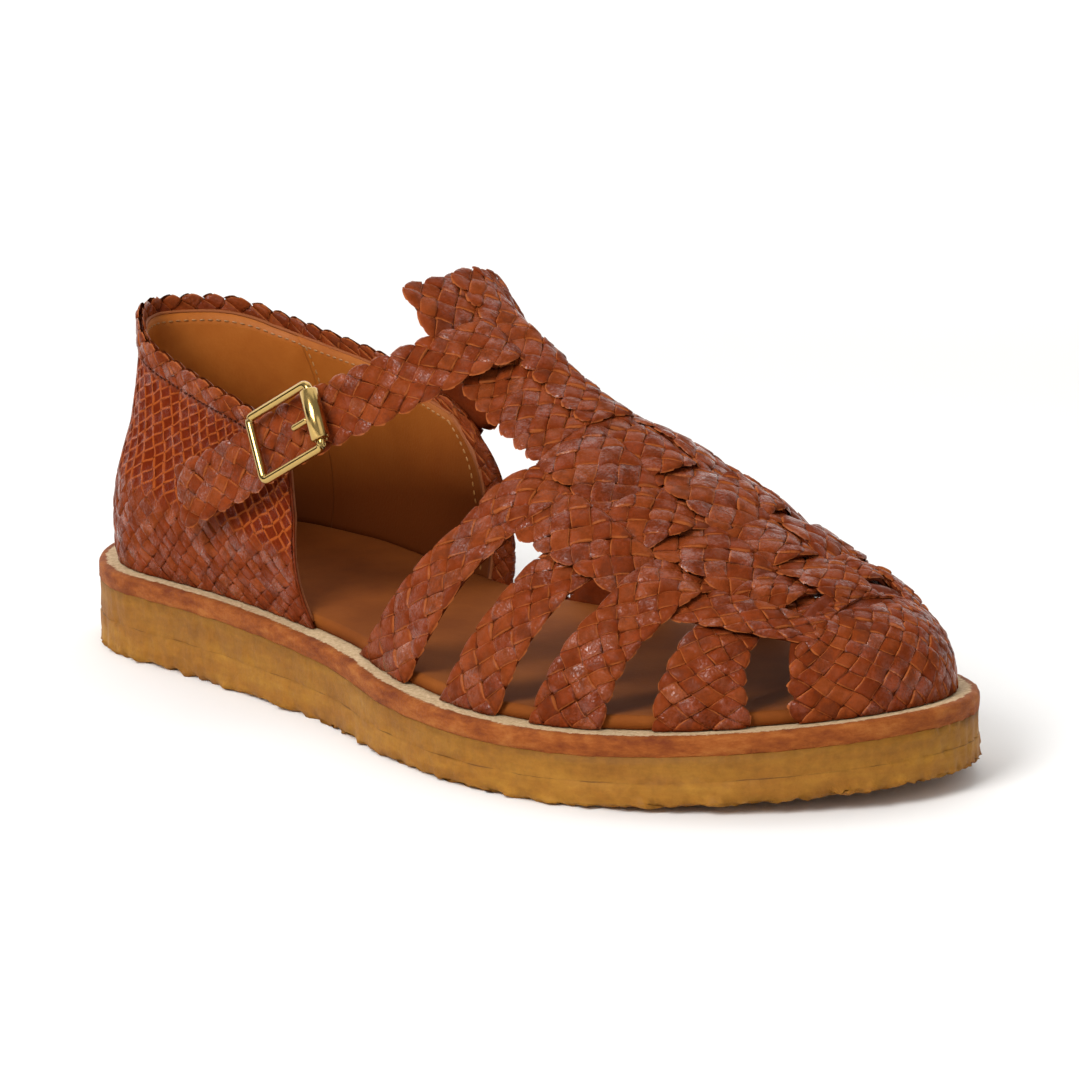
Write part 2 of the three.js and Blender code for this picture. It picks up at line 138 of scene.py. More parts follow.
# Heel counter: its form as the solid has it, then the weave, braids, lining, beads and stitches on it, in
# shares of the way round it and of its height, and in mm off its face
TOPLINE = table(
    "x height",
    (0, 82),
    (12, 81.5),
    (30, 77),
    (50, 72.5),
    (75, 67.5),
    (100, 61),
    (120, 56),
)
COUNTER_FRONT = {"lateral_foot": 107, "lateral_top": 94, "medial_foot": 115, "medial_top": 96}
FRONT_CURVE = {"lateral": 1.6, "medial": 6.5}
COUNTER_BULGE, BULGE_REACH = 1.5, 0.55
COUNTER_LEAN = {"back": 7.5, "lateral": 3, "medial": 0.5, "from": 15, "to": 70}
COUNTER_CELLS, RIM_CELLS, FACING_CELLS = (96, 22), (64, 2), (18, 3)
COUNTER_WEAVE = {"height": 0.97, "flat": 0.7, "rim": 0.88, "backing": -0.9, "dip": 0.6}
COUNTER_SKEW = {"slope": 0.2, "from": 0.4, "middle": 0.27}
NET = {"from": 0.31, "fade_in": 0.13, "to": 0.88, "fade_out": 0.04}
RIM = {"from": 0.905, "height": 0.085, "outer": 0.5, "inner": 0.85}
FACING = {"width": 0.036, "from": 0.04, "height": 0.88, "lift": 1.2}
LINING = {"from": 0.03, "to": 0.99, "seam": 0.337, "low": 0.02, "height": 0.92, "face": -0.85}
LINING_BACK = {"heel": -1.7, "quarter": -2.1}
# Painted shade of the lining, towards the footbed (low) and towards the front
LINING_PAINTED_SHADE = {"low": 1.25, "front": 0.5}
BEAD_TOP = {"level": 0.942, "to": 0.992, "inside": 1.35, "size": 0.8}
BEAD_FRONT = {"at": 0.9945, "inside": 1.3, "size": 1.1, "low": 0.02, "high": 0.94}
STITCH_ROW = {"level": 0.907, "edge": 0.015, "clear": 0.004, "low": 0.1, "high": 0.9, "end": 0.98}
STITCH_DEPTH = {"quarter": -2.15, "heel": -1.75}
DARK_ROW = {"level": 0.893, "from": 0.01, "to": 0.985, "proud": 0.42}

# Side straps: where each meets the sole and crosses the ridge, its widths along the shoe, whether it goes
# over (1) or under (-1) the middle strip, and its cells along
STRAPS = table(
    "lateral top medial foot_width side_width top_width over along",
    (140, 184, 140, 23, 13.5, 14, 1, 52),
    (176.5, 202, 175, 18.5, 12.5, 13, -1, 48),
    (205, 217, 206, 17, 12.5, 11.5, 1, 44),
    (233.5, 231, 230, 16, 12.5, 10.5, -1, 38),
)
STRAP_SIDE, STRAP_SWEEP = 0.55, 1.7
WEAVE_LIFT, WEAVE_REACH = 1.5, 2.2

# Strips along the vamp: row over the arch, where each starts, and its width across the arch
STRIP_STEP = 0.21
STRIPS = table(
    "row start width",
    (-2, 172, 0.18),
    (-1, 170, 0.205),
    (0, 170, 0.205),
    (1, 170, 0.205),
    (2, 172, 0.18),
)
STRIP_END, STRIP_CLEAR = 249, 4
STRIP_SPREAD = {"gain": -0.05, "from": 190, "to": 240}

# Tongue with its middle band, and the toe cap with its rear edge, underlap and crown
TONGUE = {"from": 119, "to": 170, "width": 0.6, "flare": 0.11, "flat": 0.95, "flare_to": 142}
TONGUE_BAND = {"share": 0.33, "lift": 0.9}
CAP_REAR = {"foot": 249, "top": 244.5}
CAP_UNDERLAP = {"reach": 0.14, "lift": 1.4, "along": 0.15, "across": 0.6}
CAP_CROWN = {"across": 0.35, "ahead": 0.06}
CAP_FLAT = 0.8

# Ankle strap: centre line from the loose tail over the tongue to the inner side
ANKLE_WIDTH = 13.5
TAIL = {"slant": 1.5, "reach": 0.14, "lift": 2.2, "cut": 0.014}
ANKLE_DIP = {"depth": 3.5, "middle": 4, "reach": 8.5}
ANKLE_CROSSING = {"x": 141, "reach": 15}
ANKLE_FACE = {"side": 27, "rise": 0.18, "forward": 0.5, "up": 0.86}
ANKLE = table(
    "x y z",
    (62, -33.5, 43),
    (80, -33.6, 52),
    (98, -33, 62),
    (113, -29.5, 70),
    (126, -22.5, 77),
    (137, -12, 84),
    (141.5, 4.5, 87),
    (135, 15, 81.5),
    (123, 22, 74),
    (109, 25.5, 67),
    (94, 26, 60.5),
    (82, 27, 57),
)

# Buckle: its middle, size and wire in mm, its direction along the strap, then its roller and prong
BUCKLE = {"x": 102.4, "y": -32.5, "z": 64.1, "along": 23, "across": 18, "wire": 1.25, "corner": 1.4}
BUCKLE_AXIS = (0.86, 0.13, 0.48)
BUCKLE_CLEAR, WIRE_SHARE = 3.05, 0.84
ROLLER = {"outer": 2.2, "bore": 1.5, "length": 12.2, "bevel": 0.35}
PRONG = {"radius": 0.8, "length": 3.6, "back": 2.6, "drop": 0.4, "nose": 0.9, "root": 1.4}

# One woven cell: places along its strand and across it, then its form, as shares of the cell and its rise
STRAND_LINE = np.array([-0.58, -0.46, -0.25, 0, 0.25, 0.46, 0.58])
CROSS_LINE = np.array([-0.5, -0.46, -0.28, 0, 0.28, 0.46, 0.5])
PINCH, LEAN, EDGE_DROP = 0.22, 0.27, -0.3
ARCH = {"ends": 0.8, "reach": 0.55, "curve": 3.6, "edges": 0.25, "turn": 7}
SCALLOP = {"reach": 1.02, "least": 0.15, "height": 0.85, "drop": 0.5, "blend": 0.35}
WEB = {"floor": -0.5, "height": 1.1, "from": 0.58, "width": 0.28}
WAVES = table("size along across seeded", (0.09, 1.9, 2.7, 1), (0.06, 0.83, -1.6, 0))
ACROSS_WAVE = 0.8
CELL_HEIGHTS = (0.8, 1.2)
TONE_SPREAD = 2.2
BACKING_TOP, BACKING_BOTTOM = -0.35, -1.2
TUBE_SIDE = np.array([0.31, 0.17, 0.93])  # a direction that no bar runs along

# Shades of a main colour over its pattern: place on the pattern, and the shade there
LEATHER, WELT_TOP, CREPE = "#7A3414", "#C4A882", "#9C6A20"
STRAND_SHADES = [(0, "#66280E"), (0.35, "#722D10"), (0.65, LEATHER), (1, "#823C19")]
WELT_SHADES = [(0.3, "#A98C69"), (0.5, WELT_TOP), (0.7, "#D8C09C")]
CREPE_SHADES = [(0.25, "#7C4B12"), (0.45, "#8F5C1A"), (0.6, CREPE), (0.8, "#AC7B2E")]

# Inputs of a range, in the order of the rows that fill them
RANGE = ("Value", "From Min", "From Max", "To Min", "To Max")

# Stage: lamps in metres and watts, and the camera by its place in metres and its turn in degrees
LAMPS = table(
    "name place size power",
    ("key", (0.15, -1.0, 0.85), 0.6, 16),
    ("sky", (-0.25, 0.25, 1.5), 1.2, 4),
    ("front", (1.2, -0.3, 0.6), 0.8, 2),
)
LAMP_AIM = (0, 0, 0.04)
WORLD_LIGHT, BACKDROP_LIGHT = 0.32, 0.75
FLOOR_HALF = 14
BACKDROP = {"from": (-10.1, -5.9), "to": (5.9, 10.1), "height": 8.4}
FLAG = {"from": (-1.2, -0.6), "to": (-0.6, -1.2), "height": 0.45}
CAMERA_PLACE, CAMERA_TURN = (0.68656, -0.6301, 0.24286), (77.6135, 1.1537, 46.2866)
LENS, SENSOR = 139, 36


def linear(code):
    """Linear colour of an sRGB hex code, with full cover."""
    values = [int(code[k : k + 2], 16) / 255 for k in (1, 3, 5)]
    return [v / 12.92 if v <= 0.04045 else ((v + 0.055) / 1.055) ** 2.4 for v in values] + [1.0]


def pattern(size):
    """Texture scale of a pattern whose features are a size in millimetres, on coordinates in metres."""
    return 1000 / size


def ease(value):
    """Smooth step from 0 to 1."""
    value = np.clip(value, 0, 1)
    return value * value * (3 - 2 * value)


def unit(vectors):
    """Vectors at length 1."""
    return vectors / np.maximum(np.linalg.norm(vectors, axis=-1, keepdims=True), 1e-9)


def column(rows, place, name, at):
    """Smooth value of one column of a table at a place along another column, without overshoot."""
    xs = np.array([row[place] for row in rows], float)
    ys = np.array([row[name] for row in rows], float)
    slope = np.diff(ys) / np.diff(xs)
    product = slope[:-1] * slope[1:]
    total = np.where(product > 0, slope[:-1] + slope[1:], 1)
    inner = np.where(product > 0, 2 * product / total, 0)
    tangent = np.concatenate([slope[:1], inner, slope[-1:]])
    at = np.asarray(at, float)
    k = np.clip(np.searchsorted(xs, at) - 1, 0, len(xs) - 2)
    span = xs[k + 1] - xs[k]
    u = np.clip((at - xs[k]) / span, 0, 1)
    start = ys[k] * (1 + 2 * u) * (1 - u) ** 2 + tangent[k] * span * u * (1 - u) ** 2
    end = ys[k + 1] * u * u * (3 - 2 * u) + tangent[k + 1] * span * u * u * (u - 1)
    return start + end


def ground_height(x):
    """Underside of the crepe, which springs up at the toe."""
    return TOE_SPRING * np.clip((x / LENGTH - SPRING_FROM) / (1 - SPRING_FROM), 0, 1) ** 2


def midsole_top(x):
    """Top of the welt, which falls from the heel to the ball."""
    wedge = ease((x / LENGTH - WEDGE_FROM) / (WEDGE_TO - WEDGE_FROM))
    return ground_height(x) + HEEL_HEIGHT + (BALL_HEIGHT - HEEL_HEIGHT) * wedge


def crepe_top(x):
    """Top of the crepe, a gap below the welt."""
    return midsole_top(x) - MIDSOLE_THICK - GAP


def welt_bottom(x):
    """Underside of the welt, close over the crepe."""
    return crepe_top(x) + WELT_LIFT


def footbed_bottom(x):
    """Underside of the footbed."""
    return midsole_top(x) + GAP


def footbed_top(x):
    """Top of the footbed."""
    return footbed_bottom(x) + INSOLE_THICK


def angle_at(x):
    """Outline angle at a place along the shoe."""
    return np.arccos(1 - 2 * np.clip(x, 0, LENGTH) / LENGTH)


def rounded(reach):
    """Quarter round that reaches 1 at 1."""
    return np.sqrt(np.maximum(0, 1 - (1 - np.minimum(reach, 1)) ** 2))


def outline(angle):
    """Sole outline: angle 0 at the heel, PI at the toe, then back along the inner side."""
    at = (1 - np.cos(angle)) / 2
    outer = np.sin(angle) >= 0
    ends = rounded(at / HEEL_ROUND) * rounded((1 - at) / TOE_ROUND)
    lateral = column(SOLE_SECTIONS, "at", "lateral", at) * ends
    medial = column(SOLE_SECTIONS, "at", "medial", at) * ends
    swing = TOE_SWING * np.clip((at - SWING_FROM) / (1 - SWING_FROM), 0, 1) ** 2
    return np.stack([at * LENGTH, swing + np.where(outer, -lateral, medial)], -1)


def inset_outline(angle, inset):
    """Sole outline moved inwards."""
    travel = unit(outline(angle + TANGENT_STEP) - outline(angle - TANGENT_STEP))
    inward = np.stack([-travel[..., 1], travel[..., 0]], -1)
    return outline(angle) + inward * np.asarray(inset)[..., None]


def arch_point(angle, q):
    """Last over the forefoot: q from the outer foot (-1) over the ridge (0) to the inner foot (1)."""
    foot = inset_outline(np.where(q < 0, angle, -angle), np.full(np.shape(q), WALL_INSET))
    x = LENGTH * (1 - np.cos(angle)) / 2
    bend = SPINE_END - (LENGTH - x) ** 2 / (4 * (SPINE_END - SPINE_BEND))
    spine = np.where(x <= SPINE_BEND, x, bend)
    height, side, full = (column(RIDGE, "x", name, spine) for name in ("height", "side", "full"))
    rise = (1 - np.minimum(1, np.abs(q))) * (math.pi / 2)
    inward = 1 - np.cos(rise) ** full
    floor = midsole_top(foot[..., 0]) + GAP
    along = foot[..., 0] + (spine - foot[..., 0]) * inward
    across = foot[..., 1] + (side - foot[..., 1]) * inward
    return np.stack([along, across, floor + (height - floor) * np.sin(rise) ** full], -1)


def counter_point(around, up):
    """Heel counter: around from the outer front edge (0) to the inner one (1), up from the sole (0) to 1."""
    front, lean = COUNTER_FRONT, COUNTER_LEAN
    level = np.clip(up, 0, 1)
    rise = 1 - (1 - level) ** FRONT_CURVE["lateral"]
    sweep = level ** FRONT_CURVE["medial"]
    lateral = angle_at(front["lateral_foot"] + (front["lateral_top"] - front["lateral_foot"]) * rise)
    medial = angle_at(front["medial_foot"] + (front["medial_top"] - front["medial_foot"]) * sweep)
    angle = lateral + (-medial - lateral) * around
    foot = inset_outline(angle, np.full(np.shape(angle), WALL_INSET))
    floor = midsole_top(foot[..., 0]) + GAP
    top = column(TOPLINE, "x", "height", foot[..., 0])
    side = np.where(angle > 0, lean["lateral"], lean["medial"])
    forward = ease((foot[..., 0] - lean["from"]) / (lean["to"] - lean["from"]))
    tilt = lean["back"] + (side - lean["back"]) * forward
    bulge = COUNTER_BULGE * np.sin(math.pi * np.clip(up / BULGE_REACH, 0, 1))
    place = inset_outline(angle, WALL_INSET + tilt * ease(up) - bulge)
    return np.concatenate([place, (floor + (top - floor) * up)[..., None]], -1)


def heel_steps(samples=2001, level=0.8):
    """Even shares of the way round the heel, and the counter's own measure at each."""
    measure = np.linspace(0, 1, samples)
    line = counter_point(1 - measure, np.full(measure.shape, level))
    way = np.concatenate([[0], np.cumsum(np.linalg.norm(np.diff(line, axis=0), axis=1))])
    return way / way[-1], measure


HEEL_STEPS = heel_steps()


def heel_point(around, up):
    """Heel counter with its face outwards: around from the inner front edge (0) to the outer one (1)."""
    return counter_point(1 - np.interp(around, *HEEL_STEPS), up)


def ankle_line(count=400, steps=60):
    """Ankle strap's centre line as evenly spaced points."""
    knots = np.array([[row["x"], row["y"], row["z"]] for row in ANKLE], float)
    knots = np.concatenate([2 * knots[:1] - knots[1:2], knots, 2 * knots[-1:] - knots[-2:-1]])
    points = []
    for k in range(1, len(knots) - 2):
        a, b, c, d = knots[k - 1 : k + 3]
        t = np.linspace(0, 1, steps, endpoint=False)[:, None]
        curve = 2 * b + (c - a) * t + (2 * a - 5 * b + 4 * c - d) * t**2 + (3 * b - a - 3 * c + d) * t**3
        points.append(curve / 2)
    points = np.concatenate(points + [knots[-2:-1]])
    travel = np.concatenate([[0], np.cumsum(np.linalg.norm(np.diff(points, axis=0), axis=1))])
    even = np.linspace(0, travel[-1], count)
    return np.stack([np.interp(even, travel, points[:, k]) for k in range(3)], -1)


def ankle_face(points):
    """Outward direction of the ankle strap, from its sides to the top of the instep."""
    top = ease(1 - np.abs(points[..., 1]) / ANKLE_FACE["side"])[..., None]
    zero = np.zeros(points.shape[:-1])
    outward = np.stack([zero, np.where(points[..., 1] < 0, -1.0, 1.0), zero + ANKLE_FACE["rise"]], -1)
    instep = np.array([ANKLE_FACE["forward"], 0, ANKLE_FACE["up"]])
    return unit(outward * (1 - top) + instep * top)


def ankle_point(u, w):
    """Ankle strap: u from its slanted tail to the inner end, w across it."""
    line = ankle_line()
    direction = unit(np.gradient(line, axis=0))
    at = (TAIL["cut"] + (1 - TAIL["cut"]) * np.clip(u, 0, 1)) * (len(line) - 1)
    steps = np.arange(len(line))
    centre = np.stack([np.interp(at, steps, line[:, k]) for k in range(3)], -1)
    travel = np.stack([np.interp(at, steps, direction[:, k]) for k in range(3)], -1)
    length = np.linalg.norm(np.diff(line, axis=0), axis=1).sum()
    beyond = (u - np.clip(u, 0, 1)) * length
    beyond = beyond + TAIL["slant"] * (w - 0.5) * (1 - ease(u / TAIL["reach"]))
    across = unit(np.cross(ankle_face(centre), travel))
    return centre + travel * beyond[..., None] + across * ((w - 0.5) * ANKLE_WIDTH)[..., None]


def ankle_lift(u, w):
    """Lift of the ankle strap: off the counter at its tail, and down under the tongue's middle band."""
    centre = ankle_point(u, np.full(np.shape(u), 0.5))
    near = 1 - ease(np.abs(centre[..., 1] - ANKLE_DIP["middle"]) / ANKLE_DIP["reach"])
    return TAIL["lift"] * (1 - ease(u / TAIL["reach"])) - ANKLE_DIP["depth"] * near


def placed(points):
    """Millimetres on the last to metres in the part's frame."""
    lateral = outline(angle_at(LENGTH * WIDEST["lateral"]))[1]
    medial = outline(-angle_at(LENGTH * WIDEST["medial"]))[1]
    return (np.asarray(points, float) - [LENGTH / 2, (lateral + medial) / 2, 0]) / 1000


def surface_normal(surface, u, w):
    """Outward direction of a surface."""
    along = surface(u + NORMAL_STEP, w) - surface(u - NORMAL_STEP, w)
    across = surface(u, w + NORMAL_STEP) - surface(u, w - NORMAL_STEP)
    return unit(np.cross(along, across))


def raised(lift, u, w):
    """Lift at points of a surface, from a number or from a function of the place."""
    return lift(u, w) if callable(lift) else np.full(np.shape(u), float(lift))


def grid_faces(rows, columns, first=0, closed=False):
    """Quads of a grid of points stored row by row."""
    a, b = np.meshgrid(np.arange(rows - 1), np.arange(columns if closed else columns - 1), indexing="ij")
    c = (b + 1) % columns
    quads = [a * columns + b, (a + 1) * columns + b, (a + 1) * columns + c, a * columns + c]
    return np.stack(quads, -1).reshape(-1, 4) + first


def weave(surface, along, across, rise, edges, lift=0, net=None, seed=1):
    """Cells of a plain weave on the bias over a surface.

    Each cell is the seen part of one flat strand: it arches over its middle and dips under the next
    strands at both ends. edges says how far each side (start, end, low, high) is folded into scallops,
    and net where the cells sink and leave a web of their borders.
    """
    random = np.random.default_rng(seed)
    i, j = np.meshgrid(np.arange(along + 1), np.arange(across + 1), indexing="ij")
    crossing = (i + j) % 2 == 1
    i, j = i[crossing], j[crossing]
    count = len(i)
    turn = np.where(i % 2, 1, -1)[:, None, None]
    s, t = np.meshgrid(STRAND_LINE, CROSS_LINE, indexing="ij")
    s = np.broadcast_to(s, (count, *s.shape))
    pinch = random.uniform(0, PINCH, count)[:, None, None]
    t = t * (1 - pinch * np.abs(s / STRAND_LINE[-1]) ** 3)
    di, dj = s + t, (s - t) * turn
    gi, gj = i[:, None, None] + di, j[:, None, None] + dj
    fall = np.zeros(s.shape)
    for name, grid, aside, limit, sign in (
        ("low", gj, di, 0, 1),
        ("high", gj, di, across, -1),
        ("start", gi, dj, 0, 1),
        ("end", gi, dj, along, -1),
    ):
        past = np.maximum(0, (limit - grid) * sign)
        room = np.maximum(SCALLOP["reach"] - np.abs(aside), SCALLOP["least"])
        fall = np.maximum(fall, np.clip(past / room, 0, 1))
        grid += sign * past
        grid -= sign * edges.get(name, 0) * past * (1 + np.minimum(1, np.abs(aside)))
    wobble = np.zeros(s.shape)
    for wave in WAVES:
        phase = wave["along"] * gi + wave["across"] * gj + wave["seeded"] * seed
        wobble = wobble + wave["size"] * np.sin(phase)
    gi = gi + wobble * np.clip(np.minimum(gi, along - gi), 0, 1)
    gj = gj + wobble[..., ::-1] * np.clip(np.minimum(gj, across - gj), 0, 1) * ACROSS_WAVE
    u, w = gi / along, gj / across
    tilt = random.normal(0, LEAN, (2, count))[:, :, None, None]
    ends = ARCH["ends"] * np.abs(s / ARCH["reach"]) ** ARCH["curve"]
    sides = ARCH["edges"] * np.abs(2 * t) ** ARCH["turn"]
    arch = 1 - ends - sides + 2 * (tilt[0] * s + tilt[1] * t)
    height = np.where(np.abs(CROSS_LINE) == CROSS_LINE[-1], EDGE_DROP, arch)
    lobe = SCALLOP["height"] * (1 - fall**3) - SCALLOP["drop"] * fall**6
    outside = ease(fall / SCALLOP["blend"])
    height = height * (1 - outside) + lobe * outside
    height = height * rise * random.uniform(*CELL_HEIGHTS, count)[:, None, None]
    border = np.maximum(np.abs(s), np.abs(t)) / 0.5
    netted = net(u, w) if net else np.zeros(s.shape)
    web = rise * (WEB["floor"] + WEB["height"] * ease((border - WEB["from"]) / WEB["width"]))
    height = height * (1 - netted) + web * netted + raised(lift, u, w)
    points = surface(u, w) + surface_normal(surface, u, w) * height[..., None]
    values = {
        "tone": random.beta(TONE_SPREAD, TONE_SPREAD, count)[:, None, None] + np.zeros(s.shape),
        "sheen": random.uniform(0, 1, count)[:, None, None] + np.zeros(s.shape),
        "rim": np.maximum(np.abs(t) / 0.5 * (1 - outside), fall),
        "dip": np.abs(s) / 0.5 * (1 - outside),
        "net": netted,
    }
    cell = grid_faces(*s.shape[1:])
    first = np.arange(count) * s.shape[1] * s.shape[2]
    faces = (cell[None] + first[:, None, None]).reshape(count, -1, 4)
    faces = np.where(turn < 0, faces, faces[..., ::-1]).reshape(-1, 4)
    return points.reshape(-1, 3), faces, {name: value.reshape(-1) for name, value in values.items()}


def wall(surface, rows, columns, top, bottom, lift=0, inset=0.0):
    """Closed slab between two offsets from a surface, which backs the cells or lines the shoe."""
    u, w = np.meshgrid(np.linspace(0, 1, rows), np.linspace(inset, 1 - inset, columns), indexing="ij")
    base, normal, up = surface(u, w), surface_normal(surface, u, w), raised(lift, u, w)
    layers = [base + normal * (up + offset)[..., None] for offset in (top, bottom)]
    points = np.concatenate([layer.reshape(-1, 3) for layer in layers])
    size = rows * columns
    faces = [grid_faces(rows, columns), grid_faces(rows, columns, size)[:, ::-1]]
    index = np.arange(size).reshape(rows, columns)
    border = np.concatenate([index[:-1, 0], index[-1, :-1], index[:0:-1, -1], index[0, :0:-1]])
    after = np.roll(border, -1)
    faces.append(np.stack([after, border, border + size, after + size], -1))
    return points, np.concatenate(faces), {}


def joined(parts):
    """Several lots of points, faces and attributes as one."""
    names = {name for _, _, values in parts for name in values}
    points = np.concatenate([part[0] for part in parts])
    starts = np.cumsum([0] + [len(part[0]) for part in parts[:-1]])
    faces = np.concatenate([part[1] + start for part, start in zip(parts, starts)])
    # Parts without cells, such as the backings behind them, get dip 1 and so are coloured all over in the
    # crevices' painted shade
    blank = {"tone": 0.25, "dip": 1.0}
    values = {
        name: np.concatenate([p[2].get(name, np.full(len(p[0]), blank.get(name, 0.0))) for p in parts])
        for name in sorted(names)
    }
    return points, faces, values


def tube(line, radius, sides, closed=False):
    """Round bar along a line of points."""
    line = np.asarray(line, float)
    rows = len(line)
    travel = unit(np.roll(line, -1, 0) - np.roll(line, 1, 0) if closed else np.gradient(line, axis=0))
    first = unit(np.cross(travel, TUBE_SIDE))
    second = np.cross(travel, first)
    turn = np.linspace(0, 2 * math.pi, sides, endpoint=False)[:, None]
    points = line[:, None] + (first[:, None] * np.cos(turn) + second[:, None] * np.sin(turn)) * radius
    points = points.reshape(-1, 3)
    if closed:
        return points, grid_faces(rows + 1, sides, closed=True)[:, ::-1] % len(points), {}
    faces = grid_faces(rows, sides, closed=True)[:, ::-1]
    k = np.arange(sides)
    after = (k + 1) % sides
    last = (rows - 1) * sides
    caps = [
        np.stack([np.full(sides, len(points)), after, k, k], -1),
        np.stack([np.full(sides, len(points) + 1), k + last, after + last, after + last], -1),
    ]
    return np.concatenate([points, line[:1], line[-1:]]), np.concatenate([faces, *caps]), {}


def fitted(thing, node):
    """Links an object into the scene, on the part's body, in place of a CAD node."""
    bpy.context.scene.collection.objects.link(thing)
    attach(thing, "root")
    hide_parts(node)


def piece(name, lot, look, node):
    """Object of points, faces and attributes, with one of the finishes."""
    points, faces, values = lot
    mesh = bpy.data.meshes.new(name)
    rows = [list(dict.fromkeys(face)) for face in faces.tolist()]
    mesh.from_pydata(placed(points).tolist(), [], rows)
    for label, value in values.items():
        attribute = mesh.attributes.new(label, "FLOAT", "POINT")
        attribute.data.foreach_set("value", np.asarray(value, np.float32))
    mesh.polygons.foreach_set("use_smooth", np.full(len(mesh.polygons), True))
    mesh.materials.append(finish(look))
    mesh.update()
    fitted(bpy.data.objects.new(name, mesh), node)


def leather(name, *lots):
    """Woven piece of the upper, of several lots."""
    piece(name, joined(lots), "woven", "upper")


def braid(name, form, edges, cells, backing, inset=0.02, seed=1):
    """Flat braid on a surface with its lift: cells along and across it, over the grid of a thin backing."""
    surface, lift = form
    rise = bpy.context.scene.sandal_sizes.rise * 1000
    front = weave(surface, *cells, rise, edges, lift, seed=seed)
    leather(name, front, wall(surface, *backing, BACKING_TOP, BACKING_BOTTOM, lift, inset))


def feed(tree, node, inputs):
    """Links or sets a node's inputs; a node given as a value stands for its first live output."""
    for key, value in inputs.items():
        if isinstance(value, bpy.types.Node):
            value = next(socket for socket in value.outputs if socket.enabled)
        if isinstance(value, bpy.types.NodeSocket):
            tree.links.new(value, node.inputs[key])
        else:
            node.inputs[key].default_value = value


def add(tree, kind, inputs=None, stops=None, main="#FFFFFF", **settings):
    """Adds a node with its settings, links and colour stops, which are shares of a main colour."""
    node = tree.nodes.new(kind)
    for name, value in settings.items():
        setattr(node, name, value)
    feed(tree, node, inputs or {})
    if stops:
        ramp = node.color_ramp
        while len(ramp.elements) < len(stops):
            ramp.elements.new(1)
        for element, (place, code) in zip(ramp.elements, stops):
            element.position = place
            element.color = [part / whole for part, whole in zip(linear(code), linear(main))]
    return node


def material(name, roughness, ior=1.5, metallic=0.0, specular=0.5):
    """Material with its tree and its Principled shader."""
    made = bpy.data.materials.new(name)
    made.use_nodes = True
    shader = made.node_tree.nodes["Principled BSDF"]
    start = {"Roughness": roughness, "IOR": ior, "Metallic": metallic, "Specular IOR Level": specular}
    feed(made.node_tree, shader, start)
    return made, made.node_tree, shader


def fine_relief(tree, shader, place, size, detail, strength):
    """Bump of pores or fibres; the real ones are about 0.1 mm and are drawn coarser, so that they show."""
    fine = add(tree, "ShaderNodeTexNoise", {"Vector": place, "Scale": pattern(size), "Detail": detail})
    bump = add(tree, "ShaderNodeBump", {"Height": fine, "Strength": strength, "Distance": 0.0003})
    feed(tree, shader, {"Normal": bump})


